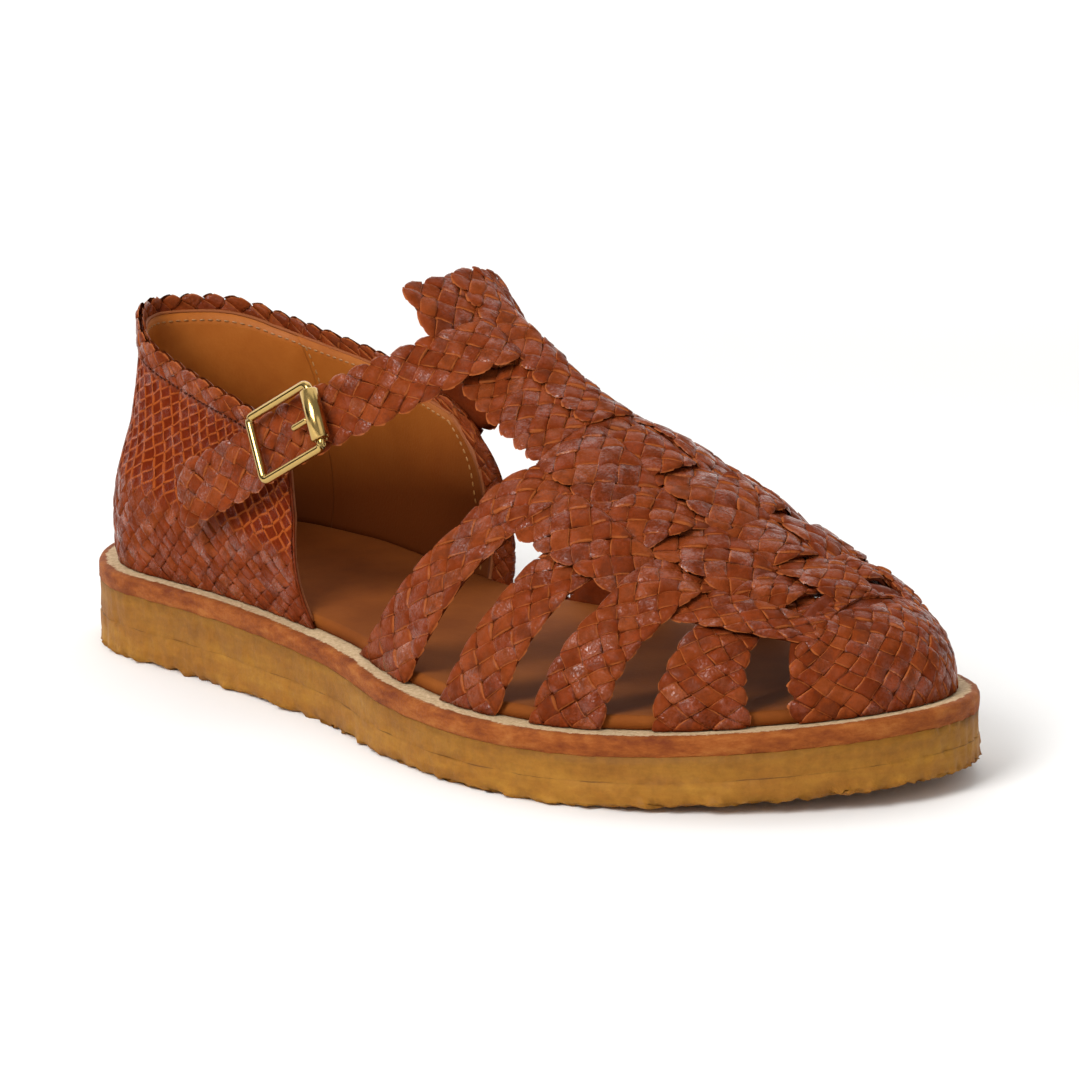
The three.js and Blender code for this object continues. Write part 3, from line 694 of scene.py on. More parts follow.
def woven_cowhide():
    """Waxed cowhide strands: satin, with painted shade where they dip and a painted sheen on their middles,
    paler along their cut edges.
    """
    colours = bpy.context.scene.sandal_colours
    made, tree, shader = material("Waxed cowhide strands", 0.31, specular=0.15)
    place = add(tree, "ShaderNodeTexCoord").outputs["Object"]
    tone, sheen, rim, dip, net = (
        add(tree, "ShaderNodeAttribute", attribute_name=name).outputs["Fac"]
        for name in ("tone", "sheen", "rim", "dip", "net")
    )
    # Blotches of 4 to 5 mm, as on waxed hide; grain and pores drawn three times coarser, so that they show
    cloud, drift, pores = (
        add(tree, "ShaderNodeTexNoise", {"Vector": place, "Scale": pattern(size), **rest})
        for size, rest in (
            (4.348, {"Detail": 6, "Roughness": 0.68}),
            (5.263, {"Detail": 5, "Roughness": 0.65}),
            (0.7143, {"Detail": 3}),
        )
    )
    edges = {"Vector": place, "Scale": pattern(1.111)}
    grain = add(tree, "ShaderNodeTexVoronoi", edges, feature="DISTANCE_TO_EDGE")
    border = add(tree, "ShaderNodeMath", {0: rim, 1: dip}, operation="MAXIMUM")
    solid = add(tree, "ShaderNodeMath", {0: 1.0, 1: net}, operation="SUBTRACT")
    # The second range marks the patches where a painted sheen, a greyish highlight, is mixed into the colour
    patch, sheen_patches, gloss, gleam, smear, crackle = (
        add(tree, "ShaderNodeMapRange", dict(zip(RANGE, row)))
        for row in (
            (cloud, 0.3, 0.7, 0.7, 1.24),
            (drift, 0.45, 0.7, 0, 0.3),
            (cloud, 0.3, 0.7, 0.42, 0.2),
            (sheen, 0.4, 0.95, 0.06, 0.44),
            (cloud, 0.44, 0.58, 0.08, 1),
            (sheen, 0.4, 0.8, 0.4, 0.85),
        )
    )
    # The last range marks where strands dip, for the painted shade of the crevices
    stain, middle, web, cut, deep = (
        add(tree, "ShaderNodeMapRange", dict(zip(RANGE, row)), interpolation_type="SMOOTHSTEP")
        for row in (
            (drift, 0.5, 0.36, 0, 0.45),
            (dip, 0.9, 0.2, 0, 1),
            (border, 0.68, 0.94, 0, 1),
            (rim, 0.8, 0.95, 0, 0.8),
            (dip, 0.92, 1.08, 0, 0.75),
        )
    )
    matt = add(tree, "ShaderNodeMath", {0: net, 1: -0.7, 2: 1.0}, operation="MULTIPLY_ADD")
    painted_sheen, netted, edge, painted_crevice_shade, shine, relief = (
        add(tree, "ShaderNodeMath", {0: one, 1: other}, operation="MULTIPLY")
        for one, other in (
            (sheen_patches, middle),
            (net, 0.8),
            (cut, solid),
            (deep, solid),
            (gleam, smear),
            (grain, pores),
        )
    )
    glint = add(tree, "ShaderNodeMath", {0: shine, 1: matt}, operation="MULTIPLY")
    # Each strand's own shade of the leather; over it stains, a painted sheen on the cells' middles, the net,
    # cut edges and painted shade in the crevices
    shade = add(tree, "ShaderNodeValToRGB", {"Fac": tone}, stops=STRAND_SHADES, main=LEATHER)
    colour = add(tree, "ShaderNodeVectorMath", {0: shade, 1: colours.leather[:3]}, operation="MULTIPLY")
    colour = add(tree, "ShaderNodeVectorMath", {0: colour, 1: patch}, operation="MULTIPLY")
    eyes = {0: web, 6: linear("#611C08"), 7: linear("#9E4C1F")}
    webbed = add(tree, "ShaderNodeMix", eyes, data_type="RGBA")
    for share, paint in (
        (stain, linear("#512A1C")),
        (painted_sheen, linear("#75452F")),
        (netted, webbed),
        (edge, colours.cut_edge),
        (painted_crevice_shade, colours.painted_crevice_shade),
    ):
        colour = add(tree, "ShaderNodeMix", {0: share, 6: colour, 7: paint}, data_type="RGBA")
    bump = add(tree, "ShaderNodeBump", {"Height": relief, "Strength": crackle, "Distance": 0.0007})
    feed(tree, shader, {"Base Color": colour, "Roughness": gloss, "Normal": bump})
    feed(tree, shader, {"Specular IOR Level": glint})
    return made


def lining_calf():
    """Vegetable-tanned calf: smooth, tan, with painted shade deep in the shoe, faint clouds and fine pores.
    """
    made, tree, shader = material("Vegetable-tanned calf lining", 0.55, ior=1.48, specular=0.25)
    place = add(tree, "ShaderNodeTexCoord").outputs["Object"]
    clouds = {"Vector": place, "Scale": pattern(22.22), "Detail": 5, "Roughness": 0.65}
    cloud = add(tree, "ShaderNodeTexNoise", clouds)
    stops = [(0.3, "#9A5015"), (0.5, "#AA5E1D"), (0.72, "#B66A27")]
    colour = add(tree, "ShaderNodeValToRGB", {"Fac": cloud}, stops=stops)
    # Painted shade: the shade attribute darkens the lining towards the footbed and the front
    shade = add(tree, "ShaderNodeAttribute", attribute_name="shade").outputs["Fac"]
    lining_in_painted_shade = add(tree, "ShaderNodeMix", {0: shade, 6: colour, 7: linear("#5E2A07")}, data_type="RGBA")
    feed(tree, shader, {"Base Color": lining_in_painted_shade})
    fine_relief(tree, shader, place, 0.6667, 2, 0.2)
    return made


def footbed_calf():
    """Oiled calf footbed: matt, painted darker than the lining as shade inside the shoe."""
    made, tree, shader = material("Oiled calf footbed", 0.8, ior=1.45, specular=0.12)
    place = add(tree, "ShaderNodeTexCoord").outputs["Object"]
    clouds = {"Vector": place, "Scale": pattern(31.25), "Detail": 5, "Roughness": 0.6}
    cloud = add(tree, "ShaderNodeTexNoise", clouds)
    # Browns darkened as painted shade inside the shoe
    stops = [(0.3, "#6A340F"), (0.5, "#7A3F14"), (0.72, "#884A1A")]
    feed(tree, shader, {"Base Color": add(tree, "ShaderNodeValToRGB", {"Fac": cloud}, stops=stops)})
    fine_relief(tree, shader, place, 0.7692, 2, 0.2)
    return made


def welt_leather():
    """Bridle-weight welt: pale fleshy top, burnished red-brown edge with a paler rim."""
    pale = bpy.context.scene.sandal_colours.welt_top
    made, tree, shader = material("Veg-tan welt with burnished edge", 0.72, ior=1.48, specular=0.15)
    place = add(tree, "ShaderNodeTexCoord").outputs["Object"]
    up = add(tree, "ShaderNodeAttribute", attribute_name="top").outputs["Fac"]
    # Blotches of 8 mm, flattened along the edge; the 0.1 mm fibres are drawn coarser, so that they show
    flat = add(tree, "ShaderNodeMapping", {"Vector": place, "Scale": (1, 1, 3)})
    cloud, fibre = (
        add(tree, "ShaderNodeTexNoise", {"Vector": at, "Scale": pattern(size), "Roughness": 0.7, **rest})
        for at, size, rest in ((flat, 8.333, {"Detail": 6}), (place, 0.9091, {"Detail": 4}))
    )
    stops = [(0.32, "#6A2E10"), (0.5, "#8A4719"), (0.68, "#A2602A")]
    side = add(tree, "ShaderNodeValToRGB", {"Fac": cloud}, stops=stops)
    fleck = add(tree, "ShaderNodeValToRGB", {"Fac": fibre}, stops=WELT_SHADES, main=WELT_TOP)
    ledge = add(tree, "ShaderNodeVectorMath", {0: fleck, 1: pale[:3]}, operation="MULTIPLY")
    torn = add(tree, "ShaderNodeMath", {0: cloud, 1: fibre}, operation="ADD")
    ragged = add(tree, "ShaderNodeMath", {0: torn, 1: 1.0}, operation="SUBTRACT")
    wander = add(tree, "ShaderNodeMath", {0: ragged, 1: 0.9, 2: up}, operation="MULTIPLY_ADD")
    span = {"Value": wander, "From Min": 0.6, "From Max": 0.85}
    share = add(tree, "ShaderNodeMapRange", span, interpolation_type="SMOOTHSTEP")
    colour = add(tree, "ShaderNodeMix", {0: share, 6: side, 7: ledge}, data_type="RGBA")
    bump = add(tree, "ShaderNodeBump", {"Height": torn, "Strength": 0.5, "Distance": 0.0007})
    feed(tree, shader, {"Base Color": colour, "Normal": bump, "Sheen Weight": 0.05, "Sheen Tint": pale})
    return made


def crepe_rubber():
    """Natural crepe: honey-coloured, cloudy, streaked along its layers, slightly waxy."""
    colours = bpy.context.scene.sandal_colours
    made, tree, shader = material("Natural crepe rubber", 0.62, ior=1.52, specular=0.2)
    place = add(tree, "ShaderNodeTexCoord").outputs["Object"]
    under, layer = (
        add(tree, "ShaderNodeAttribute", attribute_name=name).outputs["Fac"] for name in ("under", "layer")
    )
    # Streaks of 26 mm, four times as long as high; gaps in the layer line every 12 mm or so; crumbs of
    # about 1 mm, drawn coarser, so that they show
    flat = add(tree, "ShaderNodeMapping", {"Vector": place, "Scale": (1, 1, 4)})
    streak, crumb, gaps = (
        add(tree, "ShaderNodeTexNoise", {"Vector": at, "Scale": pattern(size), **rest})
        for at, size, rest in (
            (flat, 26.32, {"Detail": 7, "Roughness": 0.68}),
            (place, 2.381, {"Detail": 5, "Roughness": 0.7}),
            (flat, 11.76, {"Detail": 3}),
        )
    )
    shade = add(tree, "ShaderNodeValToRGB", {"Fac": streak}, stops=CREPE_SHADES, main=CREPE)
    honey = add(tree, "ShaderNodeVectorMath", {0: shade, 1: colours.crepe[:3]}, operation="MULTIPLY")
    olive = add(tree, "ShaderNodeMix", {0: under, 6: honey, 7: linear("#74490F")}, data_type="RGBA")
    speck = add(tree, "ShaderNodeMapRange", dict(zip(RANGE, (crumb, 0.35, 0.65, 0.88, 1.12))))
    grained = add(tree, "ShaderNodeVectorMath", {0: olive, 1: speck}, operation="MULTIPLY")
    broken = add(tree, "ShaderNodeMath", {0: layer, 1: gaps}, operation="MULTIPLY")
    span = dict(zip(RANGE, (broken, 0.4, 0.54, 0, 0.75)))
    crack = add(tree, "ShaderNodeMapRange", span, interpolation_type="SMOOTHSTEP")
    lined = add(tree, "ShaderNodeMix", {0: crack, 6: grained, 7: linear("#4E2C0A")}, data_type="RGBA")
    bump = add(tree, "ShaderNodeBump", {"Height": crumb, "Strength": 0.45, "Distance": 0.0007})
    feed(tree, shader, {"Base Color": lined, "Normal": bump})
    feed(tree, shader, {"Subsurface Weight": 0.08, "Subsurface Radius": (0.004, 0.002, 0.0008)})
    return made


def cut_leather():
    """Cut and rolled edges: raw orange-brown hide, slightly fibrous."""
    made, tree, shader = material("Rolled raw hide edge", 0.7, ior=1.48)
    feed(tree, shader, {"Base Color": linear("#8E4A18")})
    fine_relief(tree, shader, add(tree, "ShaderNodeTexCoord").outputs["Object"], 1.111, 3, 0.3)
    return made


def thread_material():
    """Waxed linen thread: pale straw, a little glossy."""
    made, tree, shader = material("Waxed linen thread", 0.5)
    feed(tree, shader, {"Base Color": bpy.context.scene.sandal_colours.thread})
    return made


def dark_thread():
    """Waxed brown thread of the outer seams, almost lost in the leather."""
    made, tree, shader = material("Waxed brown thread", 0.8, specular=0.1)
    feed(tree, shader, {"Base Color": linear("#45190B")})
    return made


def brass_material():
    """Polished brass: bright yellow, with wear in patches of 3 mm that breaks the reflections."""
    made, tree, shader = material("Polished brass", 0.2, metallic=1.0)
    place = add(tree, "ShaderNodeTexCoord").outputs["Object"]
    wear = add(tree, "ShaderNodeTexNoise", {"Vector": place, "Scale": pattern(3.333), "Detail": 4})
    rough = add(tree, "ShaderNodeMapRange", dict(zip(RANGE, (wear, 0.3, 0.7, 0.12, 0.26))))
    feed(tree, shader, {"Base Color": bpy.context.scene.sandal_colours.brass, "Roughness": rough})
    return made


MAKERS = {
    "woven": woven_cowhide,
    "lining": lining_calf,
    "footbed": footbed_calf,
    "welt": welt_leather,
    "crepe": crepe_rubber,
    "edge": cut_leather,
    "thread": thread_material,
    "dark_thread": dark_thread,
    "brass": brass_material,
}
FINISHES = {}


def finish(look):
    """Material of a look, made when it is first asked for."""
    if look not in FINISHES:
        FINISHES[look] = MAKERS[look]()
    return FINISHES[look]


class SandalSizes(bpy.types.PropertyGroup):
    """Sizes of what the solids don't have."""

    rise: FloatProperty(
        name="Strand rise",
        description="Height of a woven strand over its crossings",
        default=0.0005,
        unit="LENGTH",
    )
    bead: FloatProperty(
        name="Rolled edge", description="Radius of the rolled lining edge", default=0.0006, unit="LENGTH"
    )
    stitch: FloatProperty(
        name="Stitch length", description="Length of one seen stitch", default=0.0013, unit="LENGTH"
    )
    pitch: FloatProperty(
        name="Stitch pitch", description="Distance from stitch to stitch", default=0.002, unit="LENGTH"
    )
    thread: FloatProperty(
        name="Thread radius", description="Half the thickness of a stitch", default=0.00025, unit="LENGTH"
    )
    crumb: FloatProperty(
        name="Crepe crumb",
        description="Depth of the bumps on the crepe's edge",
        default=0.0005,
        unit="LENGTH",
    )


class SandalColours(bpy.types.PropertyGroup):
    """Colours that a user would change."""

    leather: FloatVectorProperty(
        name="Leather",
        description="Main shade of the woven strands",
        subtype="COLOR",
        size=4,
        default=linear(LEATHER),
    )
    cut_edge: FloatVectorProperty(
        name="Cut edge", description="Raw leather edge", subtype="COLOR", size=4, default=linear("#A0562A")
    )
    # Painted shade where strands dip under their neighbours
    painted_crevice_shade: FloatVectorProperty(
        name="Crevice",
        description="Leather where strands dip",
        subtype="COLOR",
        size=4,
        default=linear("#4E2010"),
    )
    welt_top: FloatVectorProperty(
        name="Welt top", description="Ledge of the welt", subtype="COLOR", size=4, default=linear(WELT_TOP)
    )
    crepe: FloatVectorProperty(
        name="Crepe", description="Shade of the crepe", subtype="COLOR", size=4, default=linear(CREPE)
    )
    thread: FloatVectorProperty(
        name="Thread", description="Lining stitches", subtype="COLOR", size=4, default=linear("#9E6C36")
    )
    brass: FloatVectorProperty(
        name="Brass", description="Buckle metal", subtype="COLOR", size=4, default=linear("#BC9C5E")
    )
    floor: FloatVectorProperty(
        name="Floor", description="Studio floor", subtype="COLOR", size=4, default=linear("#F2F1EF")
    )


def sole_ring(inset, low, high, share, stations, rough=0.0, seed=0):
    """One ring of points round the sole, at a share of the height between two surfaces."""
    angle = np.linspace(0, 2 * math.pi, stations, endpoint=False)
    loose = np.random.default_rng(seed + 70).normal(0, 1, stations)
    bumps = (np.roll(loose, 1) + 2 * loose + np.roll(loose, -1)) / 2
    place = inset_outline(angle, inset + rough * bumps)
    z = low(place[:, 0]) + (high(place[:, 0]) - low(place[:, 0])) * share
    return np.concatenate([place, z[:, None]], -1)


def sole_rings(profile, low, high, stations, rough=0.0, seed=0, edge=0.0):
    """Rings of a sole's side profile, from the bottom up."""
    return [
        sole_ring(
            edge + row["inset"], low, high, row["share"], stations, rough * row.get("rough", 1), seed + k
        )
        for k, row in enumerate(profile)
    ]


def capped(rings, values):
    """Closed solid of rings from the bottom up, with each cap laddered across the shoe."""
    stations = len(rings[0])
    faces = [grid_faces(len(rings), stations, closed=True)[:, ::-1]]
    k = np.arange(stations // 2)
    for first, flip in ((0, True), ((len(rings) - 1) * stations, False)):
        rungs = np.stack([k, k + 1, (stations - k - 1) % stations, (stations - k) % stations], -1) + first
        faces.append(rungs[:, ::-1] if flip else rungs)
    values = {name: np.repeat(np.array(value, float), stations) for name, value in values.items()}
    return np.concatenate(rings), np.concatenate(faces), values


class SANDAL_OT_outsole(bpy.types.Operator):
    """Crepe slab with a crumbly bottom edge and a faint step half-way up its side"""

    bl_idname = "sandal.outsole"
    bl_label = "Crepe outsole"

    def execute(self, context):
        crumb = context.scene.sandal_sizes.crumb * 1000
        rings = sole_rings(CREPE_PROFILE, ground_height, crepe_top, CREPE_STATIONS, crumb)
        loose = np.random.default_rng(7).uniform(0, 1, (len(CREPE_NICKS), CREPE_STATIONS))
        for nick, chance in zip(CREPE_NICKS, loose):
            chance = np.maximum(chance, np.roll(chance, 1) * NICK_SPREAD)
            rings[nick["ring"]][:, 2] += crumb * nick["depth"] * chance**3
        values = {name: [row[name] for row in CREPE_PROFILE] for name in ("under", "layer")}
        piece("crepe_outsole", capped(rings, values), "crepe", "outsole")
        return {"FINISHED"}


class SANDAL_OT_welt(bpy.types.Operator):
    """Leather welt slab whose pale ledge shows round the upper"""

    bl_idname = "sandal.welt"
    bl_label = "Leather welt"

    def execute(self, context):
        rings = sole_rings(WELT_PROFILE, welt_bottom, midsole_top, WELT_STATIONS, WELT_ROUGH, seed=2)
        values = {"top": [row["top"] for row in WELT_PROFILE]}
        piece("leather_welt", capped(rings, values), "welt", "midsole")
        return {"FINISHED"}


class SANDAL_OT_footbed(bpy.types.Operator):
    """Tan footbed inside the upper, slightly dished under the heel"""

    bl_idname = "sandal.footbed"
    bl_label = "Footbed"

    def execute(self, context):
        edge = INSOLE_INSET - FOOTBED_SPREAD
        rings = sole_rings(FOOTBED_PROFILE, footbed_bottom, footbed_top, FOOTBED_STATIONS, edge=edge)
        piece("footbed", capped(rings, {}), "footbed", "insole")
        return {"FINISHED"}


def net_share(u, w):
    """How far the counter's strands open into a net."""
    opened = ease((w - NET["from"]) / NET["fade_in"])
    return opened * (1 - ease((w - NET["to"]) / NET["fade_out"]))


def skew(u, w):
    """Share by which the netted strands of the counter lean, mirrored about the back of the heel."""
    rise = np.maximum(0, w - COUNTER_SKEW["from"]) - COUNTER_SKEW["middle"]
    return COUNTER_SKEW["slope"] * rise * np.sin(2 * math.pi * (u - 0.5))


def counter_sheet(u, w):
    """Woven face of the counter."""
    return heel_point(u + skew(u, w), w * COUNTER_WEAVE["height"])


def rim_sheet(u, w):
    """Band along the topline, on the counter's outer face."""
    return heel_point(u, RIM["from"] + RIM["height"] * w)


def inner_rim_sheet(u, w):
    """Band along the topline, on the counter's inner face."""
    return rim_sheet(1 - u, w)


def facing_sheet(u, w):
    """Band up the inner front edge of the counter."""
    return heel_point(FACING["width"] * w, FACING["from"] + FACING["height"] * u)


def lining_sheet(last):
    """Surface of a lining panel, from the inner front edge to a place round the heel."""

    def surface(u, w):
        return heel_point(LINING["from"] + (last - LINING["from"]) * u, LINING["low"] + LINING["height"] * w)

    return surface


def heel_line(around, up, offset):
    """Line of points along the heel counter, at an offset from its face."""
    around, up = np.broadcast_arrays(np.asarray(around, float), np.asarray(up, float))
    return heel_point(around, up) + surface_normal(heel_point, around, up) * offset


class SANDAL_OT_counter(bpy.types.Operator):
    """Woven heel counter with its braided topline, lining and rolled edges"""

    bl_idname = "sandal.counter"
    bl_label = "Heel counter"

    def execute(self, context):
        sizes = context.scene.sandal_sizes
        self.weaving(sizes.rise * 1000)
        self.lining()
        self.beading(sizes.bead * 1000)
        return {"FINISHED"}

    def weaving(self, rise):
        """Woven face and the braid along the topline and the front."""
        look = COUNTER_WEAVE
        edges = {"start": 0.25, "end": 0.25}
        flat = rise * look["flat"]
        cells = weave(counter_sheet, *COUNTER_CELLS, flat, edges, net=net_share, seed=3)
        cells[2]["rim"] *= look["rim"]
        backing = wall(counter_sheet, 100, 16, BACKING_TOP, look["backing"])
        # The counter's backing shows through its net in part of the crevices' painted shade
        backing[2]["dip"] = np.full(len(backing[0]), look["dip"])
        leather("counter_weave", cells, backing)
        edges = {"high": 0.45, "start": 0.3, "end": 0.3}
        outer = weave(rim_sheet, *RIM_CELLS, rise, edges, RIM["outer"], seed=5)
        inner = weave(inner_rim_sheet, *RIM_CELLS, rise, edges, RIM["inner"], seed=6)
        front = weave(facing_sheet, *FACING_CELLS, rise, {"low": 0.3}, FACING["lift"], seed=7)
        leather("topline_braid", outer, inner, front)

    def lining(self, rows=110, columns=18):
        """Two panels, with painted shade that darkens them towards the footbed and the front."""
        panels = []
        for last, back in ((LINING["to"], LINING_BACK["heel"]), (LINING["seam"], LINING_BACK["quarter"])):
            panel = wall(lining_sheet(last), rows, columns, LINING["face"], back)
            way = np.linspace(LINING["from"], last, rows)[:, None]
            level = np.linspace(0, 1, columns)
            shade = LINING_PAINTED_SHADE["low"] * (1 - level) + LINING_PAINTED_SHADE["front"] * (1 - way / LINING["seam"])
            panel[2]["shade"] = np.tile(np.clip(shade, 0, 1).ravel(), 2)
            panels.append(panel)
        piece("counter_lining", joined(panels), "lining", "upper")

    def beading(self, bead, sides=8):
        """Rolled edges along the top and the fronts of the lining."""
        around = np.linspace(LINING["from"], BEAD_TOP["to"], 160)
        line = heel_line(around, BEAD_TOP["level"], -BEAD_TOP["inside"])
        beads = [tube(line, bead * BEAD_TOP["size"], sides)]
        up = np.linspace(BEAD_FRONT["low"], BEAD_FRONT["high"], 40)
        for side in (LINING["from"], BEAD_FRONT["at"]):
            line = heel_line(side, up, -BEAD_FRONT["inside"])
            beads.append(tube(line, bead * BEAD_FRONT["size"], sides))
        piece("rolled_edges", joined(beads), "edge", "upper")


def strap_surface(row):
    """Surface of a side strap, and its lift over and under the vamp strips."""
    widths = [
        dict(reach=0, width=row["top_width"]),
        dict(reach=STRAP_SIDE, width=row["side_width"]),
        dict(reach=1, width=row["foot_width"]),
    ]

    def surface(u, w):
        q = 2 * u - 1
        reach = np.abs(q)
        foot = np.where(q < 0, row["lateral"], row["medial"])
        width = column(widths, "reach", "width", reach)
        x = row["top"] + (foot - row["top"]) * reach**STRAP_SWEEP + (0.5 - w) * width
        return arch_point(angle_at(x), q)

    def lift(u, w):
        q = 2 * u - 1
        fade = 1 - ease(np.abs(q) / STRIP_STEP - WEAVE_REACH)
        return row["over"] * WEAVE_LIFT * np.cos(math.pi * q / STRIP_STEP) * fade

    return surface, lift


class SANDAL_OT_straps(bpy.types.Operator):
    """Four flat-braided side straps, woven over and under the vamp strips"""

    bl_idname = "sandal.straps"
    bl_label = "Side straps"

    def execute(self, context):
        edges = {"low": 0.25, "high": 0.25}
        for k, row in enumerate(STRAPS):
            name, form = f"side_strap_{k + 1}", strap_surface(row)
            braid(name, form, edges, cells=(row["along"], 5), backing=(90, 8), seed=11 + k)
        return {"FINISHED"}


def strip_surface(row):
    """Surface of a vamp strip, and its lift over and under the side straps."""
    reach = abs(row["row"] * STRIP_STEP) ** STRAP_SWEEP
    side = -1 if row["row"] % 2 else 1
    start, spread = row["start"], STRIP_SPREAD
    crossings = [
        dict(
            x=strap["top"] + (strap["lateral"] - strap["top"]) * reach,
            lift=-strap["over"] * WEAVE_LIFT * side,
        )
        for strap in STRAPS
    ]
    crossings = [place for place in crossings if place["x"] > start + STRIP_CLEAR]
    rows = [dict(x=start, lift=0), *crossings, dict(x=STRIP_END, lift=0)]

    def surface(u, w):
        x = start + (STRIP_END - start) * u
        gain = 1 + spread["gain"] * ease((x - spread["from"]) / (spread["to"] - spread["from"]))
        return arch_point(angle_at(x), (row["row"] * STRIP_STEP + (w - 0.5) * row["width"]) * gain)

    def lift(u, w):
        return column(rows, "x", "lift", start + (STRIP_END - start) * u)

    return surface, lift


def tongue_surface():
    """Surface of the tongue, flat and flared at its top, and its lift round the ankle strap."""
    span = TONGUE["to"] - TONGUE["from"]
    flare_span = TONGUE["flare_to"] - TONGUE["from"]

    def surface(u, w):
        opened = 1 - ease(span * u / flare_span)
        x = TONGUE["from"] + span * u
        point = arch_point(angle_at(x), (w - 0.5) * (TONGUE["width"] + TONGUE["flare"] * opened))
        point[..., 2] += (column(RIDGE, "x", "height", x) - point[..., 2]) * TONGUE["flat"] * opened
        return point

    def lift(u, w):
        near = 1 - ease(np.abs(TONGUE["from"] + span * u - ANKLE_CROSSING["x"]) / ANKLE_CROSSING["reach"])
        return WEAVE_LIFT * near * np.cos(math.pi * (w - 0.5) * TONGUE["width"] / STRIP_STEP)

    return surface, lift


def band_surface():
    """Surface of the band along the tongue's middle, and its lift."""
    tongue, tongue_lift = tongue_surface()

    def surface(u, w):
        return tongue(u, 0.5 + (w - 0.5) * TONGUE_BAND["share"])

    def lift(u, w):
        return tongue_lift(u, 0.5 + (w - 0.5) * TONGUE_BAND["share"]) + TONGUE_BAND["lift"]

    return surface, lift


def cap_rear(reach):
    """Outline angle of the toe cap's rear edge, from the ridge (0) to the sole (1)."""
    return angle_at(CAP_REAR["top"] + (CAP_REAR["foot"] - CAP_REAR["top"]) * reach)


def cap_underlap(u, w):
    """Toe cap from its rear edge, drawn out under the vamp strips, to the toe, and from sole to sole."""
    q = 2 * w - 1
    u = u - CAP_UNDERLAP["reach"] * (1 - ease(np.abs(q))) * (1 - u)
    rear = cap_rear(np.abs(q))
    return arch_point(rear + (math.pi - rear) * u, q)


def cap_lift(u, w):
    """Height that closes the underlap against the vamp strips above it."""
    middle = 1 - ease(np.abs(2 * w - 1) / CAP_UNDERLAP["across"])
    return CAP_UNDERLAP["lift"] * (1 - ease(u / CAP_UNDERLAP["along"])) * middle


def cap_ring(u, w):
    """Toe cap as a horseshoe: u round the toe from the outer rear edge to the inner one, w from the sole up.

    Rows of the weave follow the sole round the toe and draw together under the ends of the strips.
    """
    across = -np.cos(math.pi * u) * (1 - (1 - CAP_CROWN["across"]) * w)
    ahead = np.sin(math.pi * u) * (1 - (1 - CAP_CROWN["ahead"]) * w)
    reach = np.minimum(np.hypot(across, ahead), 1)
    back = 1 - np.arctan2(ahead, np.abs(across)) / (math.pi / 2)
    return arch_point(math.pi - back * (math.pi - cap_rear(reach)), np.where(across < 0, -reach, reach))


class SANDAL_OT_vamp(bpy.types.Operator):
    """Tongue, the strips that run from it to the toe, and the toe cap"""

    bl_idname = "sandal.vamp"
    bl_label = "Tongue, vamp strips and toe cap"

    def execute(self, context):
        rise = context.scene.sandal_sizes.rise * 1000
        edges = {"low": 0.4, "high": 0.4, "start": 0.5}
        braid("tongue", tongue_surface(), edges, cells=(20, 14), backing=(40, 24), inset=0.01, seed=21)
        edges = {**edges, "end": 0.3}
        braid("tongue_band", band_surface(), edges, cells=(20, 4), backing=(40, 8), inset=0.03, seed=22)
        edges = {"low": 0.3, "high": 0.3}
        for k, row in enumerate(STRIPS):
            name, form = f"vamp_strip_{k + 1}", strip_surface(row)
            braid(name, form, edges, cells=(26, 4), backing=(60, 6), inset=0.03, seed=31 + k)
        edges = {"start": 0.5, "end": 0.5, "high": 0.2}
        cells = weave(cap_ring, 22, 10, rise * CAP_FLAT, edges, seed=41)
        leather("toe_cap", cells, wall(cap_underlap, 34, 50, BACKING_TOP, BACKING_BOTTOM, cap_lift))
        return {"FINISHED"}


class SANDAL_OT_ankle(bpy.types.Operator):
    """Braided ankle strap from its loose tail over the tongue to the inner side"""

    bl_idname = "sandal.ankle"
    bl_label = "Ankle strap"

    def execute(self, context):
        edges = {"low": 0.4, "high": 0.4, "start": 0.6, "end": 0.4}
        form = (ankle_point, ankle_lift)
        braid("ankle_strap", form, edges, cells=(62, 5), backing=(120, 8), seed=51)
        return {"FINISHED"}


def buckle_axes():
    """Middle of the buckle, and its directions along the strap, across it and out of it."""
    along = unit(np.array(BUCKLE_AXIS))
    face = ankle_face(np.array([0.0, -ANKLE_FACE["side"], 0.0]))
    across = unit(np.cross(face, along))
    out = np.cross(along, across)
    centre = np.array([BUCKLE["x"], BUCKLE["y"], BUCKLE["z"]]) + out * BUCKLE_CLEAR
    return centre, np.stack([along, across, out])


